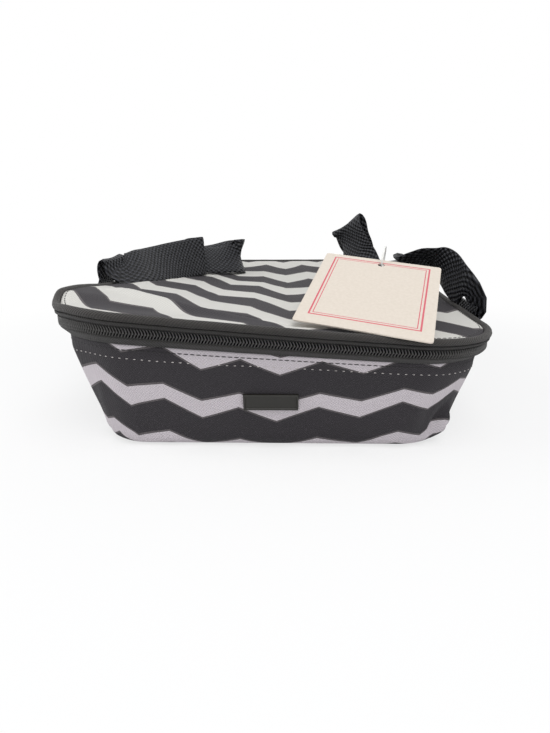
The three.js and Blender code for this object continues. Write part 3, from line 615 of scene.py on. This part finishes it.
outside = [(wall_inset(z), z) for z in np.linspace(WALL_TOP, BASE_ROLL, 34)]
outside += [(BASE_INSET + BASE_ROLL * (1 - math.cos(a)), BASE_ROLL * (1 - math.sin(a)))
            for a in np.linspace(0, math.pi / 2, 8)[1:]]
inside = [(BASE_INSET + BASE_ROLL + 0.5, 1.2), (33.0, 6.0)]
inside += [(wall_inset(z) + WALL_THICK, z) for z in (12, 40)]
inside += [(wall_inset(69) + WALL_THICK, 69.2), (wall_inset(69) + 2.0, 70.3)]
section = np.array(outside + inside)
wall = swept(section, FINE)
_, ways = outline(FINE, 0)
corner = HALF_X + ARC / 2
next_corner = corner + ARC + 2 * HALF_Y
corners = (corner, next_corner, LOOP - next_corner, LOOP - corner)
from_corner = np.min([np.abs(FINE - at) for at in corners], axis=0)
# The wall lies flat where the webbing is sewn to it
sewn_on = sum(np.exp(-((FINE - middle) / SEWN_REACH) ** 4) for middle in SEWN_AT.values())
print("wall section has", len(section), "points")

# %% Padded wall
PADDING, SLACK, FINE_SLACK, BUCKLE = 0.5, 1.6, 0.7, 1.8
CORNER_REACH, LABEL_REACH, LABEL_TALL, LABEL_Z = 42, 25, 15, 37
PINCH, PINCH_LEAN, LEAN_FROM = FRONT_MIDDLE + HALF_X + 0.52 * ARC, 0.25, 18
PINCH_Z, PINCH_TALL = 17, 13
# The fold stands out, and beside it the wall is drawn in: depth and width of each
FOLD_OUT, FOLD_WIDE, BESIDE_IN, BESIDE_WIDE, BESIDE = 6.4, 4.2, 3.6, 6, 9


def hill(*offs):
    """A smooth hill: 1 in its middle, and low where any of the offs is more than 1."""
    return math.exp(-sum(off ** 2 for off in offs))


for r, distance in enumerate(FINE):
    bend = hill(from_corner[r] / CORNER_REACH)
    for c in range(1, len(outside)):
        z = section[c, 1]
        # The wall is flat behind the label too, and held at its top and base
        label = hill((distance - FRONT_MIDDLE) / LABEL_REACH, (z - LABEL_Z) / LABEL_TALL)
        hold = smooth((WALL_TOP - z) / 9) * smooth(z / 9)
        hold *= (1 - min(1, 1.4 * label)) * (1 - sewn_on[r])
        slack = SLACK * ruffle((distance, 0, z * 1.3), 62, 1)
        slack += FINE_SLACK * ruffle((distance, 0, z * 0.8), 24, 2)
        buckle = BUCKLE * bend * ruffle((distance, 0, 0.35 * z), 15, 3)
        off = distance - PINCH - PINCH_LEAN * (z - LEAN_FROM)
        up_fold = (z - PINCH_Z) / PINCH_TALL
        pinch = FOLD_OUT * hill(off / FOLD_WIDE, up_fold)
        pinch -= BESIDE_IN * hill((off + BESIDE) / BESIDE_WIDE, up_fold)
        push = hold * (PADDING + slack + buckle) + pinch * smooth((z - 1) / 11)
        wall[r, c, :2] += ways[r] * push
cloth_down = CLOTH_TOP - run_along(section)
wall_pad = grid_piece("wall_pad", wall, "polyester_canvas_wall", FINE_U,
                      np.append(cloth_down, cloth_down[-1] - 3), closed=True)
lay_print(wall_pad, wall_layout)
dress(wall_pad, "tub", "printed_canvas", "outer_wall", "wall_insulation")

# %% [markdown]
# ## The base and the lining
# Underneath is a flat canvas panel over foam, sewn in along its edge. Inside is one welded tub of
# silver film. It hangs a little loose, so its walls and floor are uneven, and it turns out over
# the foam at the top.


# %% Base
def rings(insets, heights, shares=1.0):
    """Rings of the outline at insets and heights, drawn in to the middle by shares."""
    return np.array([at_height(outline(FINE, inset)[0] * share, z)
                     for inset, z, share in np.broadcast(insets, heights, shares)])


base_edge = BASE_INSET + BASE_ROLL + 0.6
base_grid = rings(base_edge + np.array([8, 3, 0, 0, -1.5, -5, 8]),
                  [0.0, 0.0, 0.3, 1.0, 1.8, 6.0, 6.1])
base_pad = lofts_piece("base_pad", base_grid[None], "polyester_canvas_plain")
dress(base_pad, "tub", "plain_canvas", "outer_base", "base_insulation")

# %% Lining
LINING_LOW, LINING_HIGH = 7.6, 69.6
CREASE, FINE_CREASE = 2.2, 0.8

heights = np.linspace(LINING_LOW, LINING_HIGH, 26)
skirt = np.interp(heights, [LINING_LOW, LINING_HIGH],
                  [wall_inset(10) + 7.4, wall_inset(LINING_HIGH) + 6.6])
lip = wall_inset(69.4) + 1.6
floor_shares = [0.1, 0.3, 0.5, 0.7, 0.85, 0.95]
lining_grid = settle(np.concatenate([
    rings(skirt[0], 7.2, floor_shares),
    rings(skirt, heights),
    rings([skirt[-1] - 1, lip + 1, lip, lip, skirt[-1] - 0.2], [70.4, 70.6, 70.4, 69.8, 69.4]),
    rings(skirt[::-5] - 0.5, heights[::-5] - 0.2),
    rings(skirt[0] - 0.4, 6.5, [0.95, 0.5, 0.1])]))
on_floor = len(floor_shares)
for r in range(on_floor + len(heights) - 1):
    for c, p in enumerate(lining_grid[r]):
        crease = CREASE * abs(ruffle(p, 46, 5)) + FINE_CREASE * abs(ruffle(p, 17, 6))
        if r < on_floor:
            p[2] += crease * (1 - floor_shares[r] ** 6)
        else:
            p[:2] -= ways[c] * crease * smooth((heights[r - on_floor] - 7) / 10)
tub_lining = lofts_piece("tub_lining", lining_grid[None], "silver_lining_film")
dress(tub_lining, "tub", "silver_lining", "liner")

# %% [markdown]
# ## The lid
# The lid is canvas over foam, cut flat, but an empty tote doesn't hold it flat: it dips in the
# middle and follows the rim, which has risen at the left front corner. There the lid's top has a
# crease across the corner, which its lining does not follow. The lid is made of nested rings, so
# its edge can be rolled down to the binding all round.

# %% Padded lid
LID_INSET, COVER_TOP, LID_FOOT = 4.7, 89.5, 83.6
CREASE_FROM, CREASE_TO = np.array([-118.0, -93.0]), np.array([30.0, -186.0])
CREASE_WAY = (CREASE_TO - CREASE_FROM) / np.linalg.norm(CREASE_TO - CREASE_FROM)
LID_DIP, RIDGE, GROOVE, SWELL, WRINKLE, FINE_WRINKLE = 7.0, 3.0, 4.4, 4.0, 1.5, 0.5


def lid_crease(x, y):
    """The fold across the lid's left front corner: a groove with a ridge in front of it."""
    dx, dy = x - CREASE_FROM[0], y - CREASE_FROM[1]
    off = dx * CREASE_WAY[1] - dy * CREASE_WAY[0]
    done = dx * CREASE_WAY[0] + dy * CREASE_WAY[1]
    on_line = smooth((done + 10) / 40) * smooth((190 - done) / 50)
    return on_line * (RIDGE * hill((off - 8) / 7) - GROOVE * hill(off / 2.6))


def lid_slack(x, y):
    """What else is added to the plain dip: a swell beside the left handle, and wrinkles."""
    swell = SWELL * hill((x + 108) / 34, (y - 20) / 80)
    wrinkles = WRINKLE * ruffle((x, y, 0), 85, 11)
    return swell + wrinkles + FINE_WRINKLE * ruffle((x, y * 1.6, 0), 30, 12)


def lid_surface(height, shares, crease=0.0, slack=0.6):
    """A face of the lid as nested rings. crease and slack are shares of the full forms."""
    made = rings(LID_INSET, height, shares)
    for share, ring in zip(shares, made):
        held = smooth((1 - share) / 0.22)
        for p in ring:
            p[2] += held * (crease * lid_crease(*p[:2]) + slack * lid_slack(*p[:2]))
    across, along = 2 * made[..., 0] / WIDTH, 2 * made[..., 1] / DEPTH
    made[..., 2] -= LID_DIP * np.maximum(0, 1 - across ** 2) * np.maximum(0, 1 - along ** 2)
    return settle(made)


top_shares = np.concatenate([[0.02], np.linspace(0.06, 0.5, 15), np.linspace(0.51, 0.94, 48),
                             [0.965, 0.985, 0.996, 1.0]])
under_shares = np.array([1.0, 0.97, 0.85, 0.6, 0.3, 0.02])
top = lid_surface(COVER_TOP, top_shares, crease=1.0, slack=1.0)
top[-3:, :, 2] -= np.array([0.4, 1.0, 2.4])[:, None]
lid_grid = np.concatenate([top, lid_surface(LID_FOOT, under_shares)])
lid_pad = lofts_piece("lid_pad", lid_grid[None], "polyester_canvas_lid")
lay_print(lid_pad, lid_layout)
dress(lid_pad, "lid", "printed_canvas", "lid_cover", "lid_insulation")

# %% The lid's lining
LINING_SAG = 1.4
lower_shares = np.concatenate([[1.0, 0.99, 0.975], np.linspace(0.95, 0.06, 30), [0.02]])
lower = lid_surface(LID_FOOT - 0.9, lower_shares)
for share, ring in zip(lower_shares, lower):
    for p in ring:
        p[2] -= LINING_SAG * smooth((1 - share) / 0.1) * abs(ruffle(p, 40, 15))
lining_grid = np.concatenate([lid_surface(LID_FOOT - 0.2, under_shares[::-1]), lower])
lid_lining = lofts_piece("lid_lining", lining_grid[None], "silver_lining_film")
dress(lid_lining, "lid", "silver_lining", "lid_liner")

# %% [markdown]
# ## Binding and zip tapes
# A folded binding is sewn round the lid's edge and makes the thick dark rim. Under it the lid's
# zip tape stands out as a second roll, and the tub's tape slopes in from the zip to the wall. All
# three are sections swept along the outline, with a little unevenness so they look sewn and not
# extruded.

# %% Binding and tapes
ZIP_START = HALF_X + ARC - 8
ZIP_END = LOOP - ZIP_START
ZIP_RUN = np.linspace(ZIP_START, ZIP_END, 330)
ROLL_INSET, ROLL_HEIGHT, ROLL_RADIUS = 2.35, 87.6, 2.45
ROLL_WOBBLE, TAPE_WOBBLE = 0.25, 0.18


def circle(count):
    """Angles spaced evenly round a circle."""
    return np.linspace(0, 2 * math.pi, count, endpoint=False)


def cloth_run(name, section, distances, material, wobble, closed=False):
    """A section swept along the outline, pushed about by a wobble."""
    grid = swept(section, distances)
    _, way = outline(distances, 0)
    for r, distance in enumerate(distances):
        p = (distance, 0, 0)
        grid[r, :, :2] += way[r] * wobble * (ruffle(p, 21, 21) + 0.5 * ruffle(p, 7, 22))
        grid[r, :, 2] += 0.7 * wobble * ruffle(p, 16, 23)
    u = np.append(distances, distances[0] + LOOP)
    v = run_along(np.vstack([section, section[:1]]))
    return grid_piece(name, grid, material, u, v, closed)


roll = np.stack([ROLL_INSET + ROLL_RADIUS * np.cos(circle(14)),
                 ROLL_HEIGHT + ROLL_RADIUS * np.sin(circle(14))], -1)
lid_roll = cloth_run("lid_roll", roll, FINE, "polyester_binding_twill", ROLL_WOBBLE, closed=True)
dress(lid_roll, "lid", "black_binding", "lid_binding")
for name, body, node, section in (
        ("upper_tape", "lid", "upper_zip_tape", [
            (3.0, 81.9), (2.9, 82.7), (1.7, 83.1), (0.9, 83.7), (0.8, 84.5), (1.4, 85.0),
            (2.6, 85.2), (4.1, 85.2), (4.2, 83.4), (4.1, 81.9)]),
        ("lower_tape", "tub", "lower_zip_tape", [
            (3.0, 76.7), (2.9, 75.8), (3.6, 75.0), (5.6, 73.4), (7.6, 71.7), (8.0, 71.1),
            (9.2, 71.0), (9.0, 72.2), (6.4, 74.3), (4.4, 75.8), (4.0, 76.7)])):
    tape = cloth_run(name, np.array(section), ZIP_RUN, "polyester_zip_tape", TAPE_WOBBLE)
    dress(tape, body, "zip_tape", node)

# %% [markdown]
# ## The zip
# A coil zip is two nylon spirals whose loops catch each other. Close up it looks like two rows of
# short bars with swollen heads that lean back from the zip's middle, so that together they make a
# line of small arrowheads. An array along a curve could place them. Here each bar is a loft of
# seven rings, placed every 1.8 mm, so that it stands right on the settled rim.

# %% Zip teeth
TOOTH_STEP, TOOTH_SIDES = 1.8, 6
# Height from the zip's middle, half width along it, half depth, inset and lean back of each ring
TOOTH_RINGS = [
    (-2.75, 0.3, 0.75, 3.1, 1.3), (-2.6, 0.5, 1.0, 3.05, 1.2), (-1.3, 0.5, 1.05, 2.95, 0.55),
    (-0.25, 0.42, 0.9, 2.95, 0.08), (0.35, 0.56, 1.0, 2.95, 0), (0.75, 0.52, 0.9, 2.98, 0),
    (0.95, 0.3, 0.5, 3.05, 0)]
CHAIN_FIRST = HALF_X + ARC + 1.0
CHAIN_LAST = LOOP - CHAIN_FIRST
# The slider stands on the first teeth of the tub's row, and the lid's row starts past it
SLIDER_ROOM = 21


def zip_row(name, first, rise):
    """A row of teeth with their heads at the zip's middle. They rise from the tub, or hang."""
    turns = circle(TOOTH_SIDES) + math.pi / 6
    steps = np.arange(first, CHAIN_LAST, TOOTH_STEP)
    teeth = []
    for height, half, deep, inset, back in TOOTH_RINGS:
        flat, _ = outline(steps[:, None] - back + half * np.sin(turns),
                          inset + deep * np.cos(turns) * 0.9)
        teeth.append(settle(at_height(flat, CHAIN_MIDDLE + rise * height)))
    print(name, len(steps), "teeth")
    return lofts_piece(name, np.stack(teeth, 1), "nylon_coil", laid=False)


def finish_node(node, material):
    """Gives a finish to a node of the frame that is shown as it is."""
    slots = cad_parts[node].data.materials
    slots.clear()
    slots.append(MATERIALS[material])


lower_teeth = zip_row("lower_teeth", CHAIN_FIRST, 1)
dress(lower_teeth, "tub", "zip_teeth", "lower_zip_teeth")
upper_teeth = zip_row("upper_teeth", CHAIN_FIRST + SLIDER_ROOM + TOOTH_STEP / 2, -1)
dress(upper_teeth, "lid", "zip_teeth", "upper_zip_teeth")
for node in ("zip_slider", "zip_slider_back", "zip_pull", "zip_stop_left", "zip_stop_right"):
    finish_node(node, "black_enamel")

# %% [markdown]
# ## The fabric hinge
# Behind the lid there is no zip. A strip of binding joins lid and tub. Along the straight rear
# edge, where it has to bend when the lid opens, it is one sheet, made as it lies with the lid
# shut. Round the two rear corners a sheet would be pulled apart, so the strip is slit there. Its
# halves meet when the lid is shut, and each then stays with its own side.

# %% Hinge strip
HINGE_LINE = CHAIN_MIDDLE
STRIP_THICK, STRIP_WOBBLE, HALF_SLIT = 1.3, 0.12, 0.05
STRIP_LOW, STRIP_HIGH, STRIP_INSETS = 71.4, 85.2, [8.0, 2.3, 1.2]


def strip_section(low, high):
    """The strip's outer face from one height to another, and back down its inner face."""
    heights = np.linspace(low, high, 9)
    insets = np.interp(heights, [STRIP_LOW, HINGE_LINE, STRIP_HIGH], STRIP_INSETS)
    face = np.stack([insets, heights], -1)
    return np.vstack([face, face[::-1] + [STRIP_THICK, 0]])


hinge_run = np.linspace(LOOP - HALF_X, LOOP + HALF_X, 90)
whole = strip_section(STRIP_LOW, STRIP_HIGH)
hinge_strip = cloth_run("hinge_strip", whole, hinge_run, "polyester_binding_twill", STRIP_WOBBLE)
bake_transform(hinge_strip)
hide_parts("hinge_strip_lower", "hinge_strip_upper")

corner_runs = {"left": np.linspace(LOOP + HALF_X, LOOP + ZIP_START - 0.4, 40),
               "right": np.linspace(ZIP_END + 0.4, LOOP - HALF_X, 40)}
for where, run in corner_runs.items():
    for half, body, low, high in (("lower", "tub", STRIP_LOW, HINGE_LINE - HALF_SLIT),
                                  ("upper", "lid", HINGE_LINE + HALF_SLIT, STRIP_HIGH)):
        made = cloth_run(f"corner_strip_{where}_{half}", strip_section(low, high), run,
                         "polyester_binding_twill", STRIP_WOBBLE)
        dress(made, body, "black_binding")

# %% [markdown]
# ## The webbing handles
# Each handle is a loop of 38 mm webbing that has fallen over the lid. Webbing keeps its width and
# bends and twists, so it is made as a ribbon: middle points, and at each the way that its width
# points. The frame's loops take a plainer route. This one has the folds that the photo shows. The
# section has rounded edges and is a little thinner there, as a woven band is.

# %% Routes of the loops
# Each row: the distance in from the side, y, the height above the rim, and the width's direction
LEFT_ROUTE = [
    (-3.4, -29, 11, 0.15, 0.99, 0), (-1.2, -28.5, 19.5, 0.2, 0.97, 0.08),
    (2.4, -28.5, 20, 0.1, 0.92, 0.3), (6, -28.5, 13, 0, 0.82, 0.57),
    (12.5, -26, 11, -0.12, 0.76, 0.64), (22.5, -20, 12.8, -0.28, 0.72, 0.63),
    (30, -9, 12.8, -0.38, 0.64, 0.64), (38, 8, 13, -0.36, 0.52, 0.72),
    (46.5, 25, 13.5, -0.25, 0.4, 0.84), (56, 41, 14.5, -0.16, 0.3, 0.9),
    (63.5, 50.5, 15.5, -0.1, 0.26, 0.94), (66.5, 55.5, 15.5, -0.08, 0.26, 0.94),
    (64, 59.5, 15, -0.08, 0.26, 0.94), (57, 62, 15, -0.1, 0.3, 0.92),
    (50, 65, 14.5, -0.12, 0.4, 0.88), (47, 68.5, 13.5, -0.12, 0.5, 0.84),
    (50.5, 72, 12.5, -0.12, 0.62, 0.76), (60, 75, 11, -0.1, 0.74, 0.66),
    (75, 79, 9.5, -0.1, 0.78, 0.6), (88, 85, 10, -0.1, 0.74, 0.64),
    (96.5, 91, 11, -0.1, 0.66, 0.72), (99.5, 95.5, 11.5, -0.1, 0.62, 0.75),
    (96.5, 99.5, 12.5, -0.08, 0.58, 0.8), (86, 102, 13, 0, 0.6, 0.78),
    (71, 102, 11.5, 0, 0.75, 0.62), (50, 97, 10.5, 0, 0.85, 0.48), (27, 87, 11, 0, 0.94, 0.3),
    (10, 76, 13, 0, 1, 0.12), (-0.5, 69, 13.5, 0, 1, 0.03), (-4, 66, 8, 0, 1, 0)]
RIGHT_ROUTE = [
    (-3, -87, -3.4, -0.12, 0.88, -0.45), (0.3, -84.5, 0.6, -0.03, 0.68, -0.73),
    (2.4, -77.5, 4.4, 0, 0.5, -0.87), (5.6, -66.2, 10.9, -0.03, 0.5, -0.87),
    (10.8, -55.1, 15.8, 0.1, 0.68, -0.72), (18.6, -47.4, 20.6, 0.33, 0.85, -0.42),
    (26, -43, 16, 0.05, 0.62, -0.78), (33, -38, 8.5, -0.35, 0.5, -0.78),
    (39, -28, 3.5, -0.68, 0.3, -0.62), (43, -12, 1, -0.85, 0.15, -0.42),
    (46, 8, 0, -0.93, 0.1, -0.25), (56.3, 34, 1.5, -0.9, 0.4, 0),
    (61.4, 58, 12.7, -0.6, 0.75, 0.1), (65.4, 68, 29, -0.55, 0.83, 0.05),
    (72.5, 74, 44.5, -0.5, 0.7, -0.5), (69.5, 79, 43.5, -0.45, 0.65, -0.6),
    (61, 85, 25, -0.4, 0.55, -0.7), (45, 88, 7, -0.1, 0.95, -0.25), (22, 84, 6.5, 0, 1, -0.1),
    (4, 74, 10, 0, 1, 0), (-4, 66.5, 8, 0, 1, 0)]


def through(points, steps):
    """A smooth curve through all the points, with as many steps between each two."""
    p = np.array(points, float)
    p = np.vstack([2 * p[0] - p[1], p, 2 * p[-1] - p[-2]])

    def between(a, b, start, end, t):
        return ((end - t) * a + (t - start) * b) / (end - start)

    made = []
    for k in range(1, len(p) - 2):
        q = p[k - 1:k + 3]
        # The knots' spacing keeps the curve from overshooting where points are close
        gaps = np.maximum(np.linalg.norm(np.diff(q, axis=0), axis=1), 1e-4) ** 0.5
        knots = np.concatenate([[0], np.cumsum(gaps)])
        for t in np.linspace(knots[1], knots[2], steps, endpoint=False):
            first = [between(q[i], q[i + 1], knots[i], knots[i + 1], t) for i in range(3)]
            second = [between(*first[i:i + 2], knots[i], knots[i + 2], t) for i in range(2)]
            made.append(between(*second, knots[1], knots[2], t))
    return np.array([*made, p[-2]])


print("loops have", len(LEFT_ROUTE), "and", len(RIGHT_ROUTE), "stations")

# %% Ribbons of webbing
WEBBING, THICK = 38.0, 2.1
FOOT_OUT, FOOT_TOP, FOOT_GAP, REAR_LEAD = 4.6, 93.0, 0.1, 3.5
# From one edge of the band over it to the other, and back under it
across = np.linspace(-1, 1, 17)
half = THICK / 2 * np.sqrt(np.maximum(0.03, 1 - np.abs(across) ** 8))
BAND = np.stack([across * WEBBING / 2, half], -1)
BAND = np.vstack([BAND, (BAND * [1, -1])[::-1]])
BAND_V = np.append(BAND[:, 0], BAND[0, 0])


def places(line, run, at):
    """Points at some distances along a line of points."""
    return np.stack([np.interp(at, run, line[:, k]) for k in range(3)], -1)


def ease(rows, times):
    """Smooths rows of values along the band, and keeps the first and last."""
    eased = np.array(rows, float)
    for _ in range(times):
        eased[1:-1] = (eased[:-2] + 2 * eased[1:-1] + eased[2:]) / 4
    return eased


def webbing_loop(name, side, route, front):
    """A loop from its front foot to its rear one, on the tops of the sewn ends."""
    feet = [settle([side * (WIDTH / 2 + FOOT_OUT), y, FOOT_TOP]) + [0, 0, FOOT_GAP]
            for y in (front, SEWN_Y)]
    inward, y, above, *way = np.array(route, float).T
    middles = np.stack([side * (WIDTH / 2 - inward), y, HEIGHT + above], -1)
    # A short upright lead keeps the rear end square on its sewn end
    middles = np.vstack([feet[0], middles, feet[1] + [0, 0, REAR_LEAD], feet[1]])
    widths = np.vstack([[0, 1, 0], np.stack(way, -1), [0, 1, 0], [0, 1, 0]])
    # Webbing is stiff: its bends and twists are eased over a few centimetres
    centre, across = ease(through(middles, 9), 5), ease(through(widths, 9), 7)
    run = run_along(centre)
    even = np.linspace(0, run[-1], 150)
    centre, across = places(centre, run, even), places(across, run, even)
    along = np.gradient(centre, axis=0)
    along /= np.linalg.norm(along, axis=1)[:, None]
    across = ease(across - along * np.sum(across * along, axis=1)[:, None], 4)
    across -= along * np.sum(across * along, axis=1)[:, None]
    across /= np.linalg.norm(across, axis=1)[:, None]
    out = np.cross(along, across)
    grid = centre[:, None] + across[:, None] * BAND[:, :1] + out[:, None] * BAND[:, 1:]
    length = run_along(centre)
    print(name, "is", round(length[-1]), "mm long")
    return grid_piece(name, grid, "polypropylene_webbing", length, BAND_V)


left_strap = webbing_loop("left_strap", -1, LEFT_ROUTE, front=-29)
dress(left_strap, "left_handle", "black_webbing", "handle_left")
right_strap = webbing_loop("right_strap", 1, RIGHT_ROUTE, front=-83)
dress(right_strap, "right_handle", "black_webbing", "handle_right")
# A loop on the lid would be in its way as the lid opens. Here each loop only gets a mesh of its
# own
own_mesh(left_strap)
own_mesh(right_strap)

# %% [markdown]
# Each loop's ends go down over the zip and are sewn flat to the wall. That part moves with the
# tub. It follows the outline, so it lies on the wall, and it stands clear of the zip so that the
# slider can pass.

# %% Sewn ends
SUNK = 0.3
# Inset, height and share of the lean, up the middle of a sewn end
SEWN_PATH = [(wall_inset(z) - SUNK, z, 0) for z in (28, 43, 57)]
SEWN_PATH += [(-1.2, 68, 0.28), (-3.5, 75, 0.5), (-3.5, 84, 0.75), (-3.5, 93.1, 1)]
SEWN_LEAN = {"left_front": -36, "left_rear": 0, "right_front": -18, "right_rear": 0}
inset, height, leaning = through(SEWN_PATH, 6).T
for where, middle in SEWN_AT.items():
    layers = []
    for w, n in BAND:
        flat, _ = outline(middle + w + leaning * SEWN_LEAN[where], inset - THICK / 2 - n)
        layers.append(settle(at_height(flat, height)))
    grid = np.stack(layers, 1)
    made = grid_piece("sewn_end_" + where, grid, "polypropylene_webbing", run_along(grid[:, 0]),
                      BAND_V)
    dress(made, "tub", "black_webbing", "handle_end_" + where)

# %% [markdown]
# ## Stitches
# Sewing is what tells the eye that this is cloth. A stitch is a short length of thread, fat in the
# middle and sunk at both ends. One helper lays stitches along lines of points: a dark row under
# the zip tape, a pale row below it, a row round the lid, and a box with a cross on each sewn end
# of the webbing.

# %% Seams
# Places along a stitch and its thickness there, as shares
STITCH = [(-0.5, 0.3), (-0.3, 0.85), (0, 1.0), (0.3, 0.85), (0.5, 0.3)]
ANY_WAY = [0.31, 0.22, 0.93]


def stitches(name, lines, length, gap, thick, material):
    """Short threads along lines of points that lie on a surface."""
    threads = []
    for line in lines:
        run = run_along(line)
        for start in np.arange(gap / 2, run[-1] - length, length + gap):
            ends = places(line, run, [start, start + length])
            way = (ends[1] - ends[0]) / np.linalg.norm(ends[1] - ends[0])
            side = np.cross(way, ANY_WAY)
            side /= np.linalg.norm(side)
            over = np.cross(way, side)
            threads.append([[ends.mean(0) + way * t * length
                             + thick / 2 * fat * (math.cos(a) * side + math.sin(a) * over)
                             for a in circle(6)] for t, fat in STITCH])
    return lofts_piece(name, np.array(threads), material)


for name, body, slot, ring, length, gap, thick, thread in (
        ("tape_seam", "tub", "plain_canvas", wall[:, 2], 3.0, 0.7, 0.7, "polyester_thread_dark"),
        ("pale_seam", "tub", "plain_canvas", wall[:, 5], 1.5, 3.1, 0.6, "polyester_thread_pale"),
        ("lid_seam", "lid", "black_binding", top[-3], 3.0, 0.8, 0.6, "polyester_thread_dark")):
    seam = stitches(name, [np.vstack([ring, ring[:1]])], length, gap, thick, thread)
    dress(seam, body, slot)

# %% Boxes on the sewn ends
a, b, c, d = (-15, 31), (15, 31), (15, 55), (-15, 55)
BOX = np.array([(a, b), (b, c), (c, d), (d, a), (a, c), (d, b)])
box_lines = []
for middle in SEWN_AT.values():
    for start, end in BOX:
        across, z = np.linspace(start, end, 12).T
        flat, _ = outline(middle + across, wall_inset(z) - SUNK - THICK)
        box_lines.append(settle(at_height(flat, z)))
box_stitches = stitches("box_stitches", box_lines, 3.0, 0.7, 0.8, "polyester_thread_dark")
dress(box_stitches, "tub", "black_webbing")

# %% [markdown]
# ## The card, its loop and the label
# The card lies loose on the lid, tied by a plastic loop through a punched hole. The frame's card
# already has the right shape, so it keeps it and gets a board finish. The loop is thin round
# plastic, so it is made again, finer. The label is a rubber moulding with a raised frame and a
# plain face, and the frame's own shape is used for it too.

# %% Card, loop and label
finish_node("care_card", "coated_board")
finish_node("label_patch", "moulded_rubber")

LOOP_RADIUS, LOOP_THICK, HOLE_UP, HOLE_PLAY = 9.0, 1.3, 39.5, 1.25
turn = np.array(Euler([math.radians(a) for a in CARD_TURN], "XYZ").to_matrix())
around, wire = np.meshgrid(circle(48), circle(10), indexing="ij")
reach = LOOP_RADIUS + LOOP_THICK / 2 * np.cos(wire)
loop_up = HOLE_UP + LOOP_RADIUS + HOLE_PLAY
on_card = np.stack([LOOP_THICK / 2 * np.sin(wire), loop_up + reach * np.cos(around),
                    reach * np.sin(around)], -1)
tie = grid_piece("card_tie", on_card @ turn.T + CARD_PLACE, "white_nylon_loop", np.arange(49.0),
                 np.arange(11.0), closed=True)
dress(tie, "card", "clear_loop", "card_loop")

# %% [markdown]
# ## Sizes, then finish
# The dressed tote has to fill the frame's own box, not more. Both boxes are printed.

# %% Finish
visual_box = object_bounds()
for box in (cad_box, visual_box):
    print("sides, mm:", [round(1000 * (b - a)) for a, b in zip(*box)])
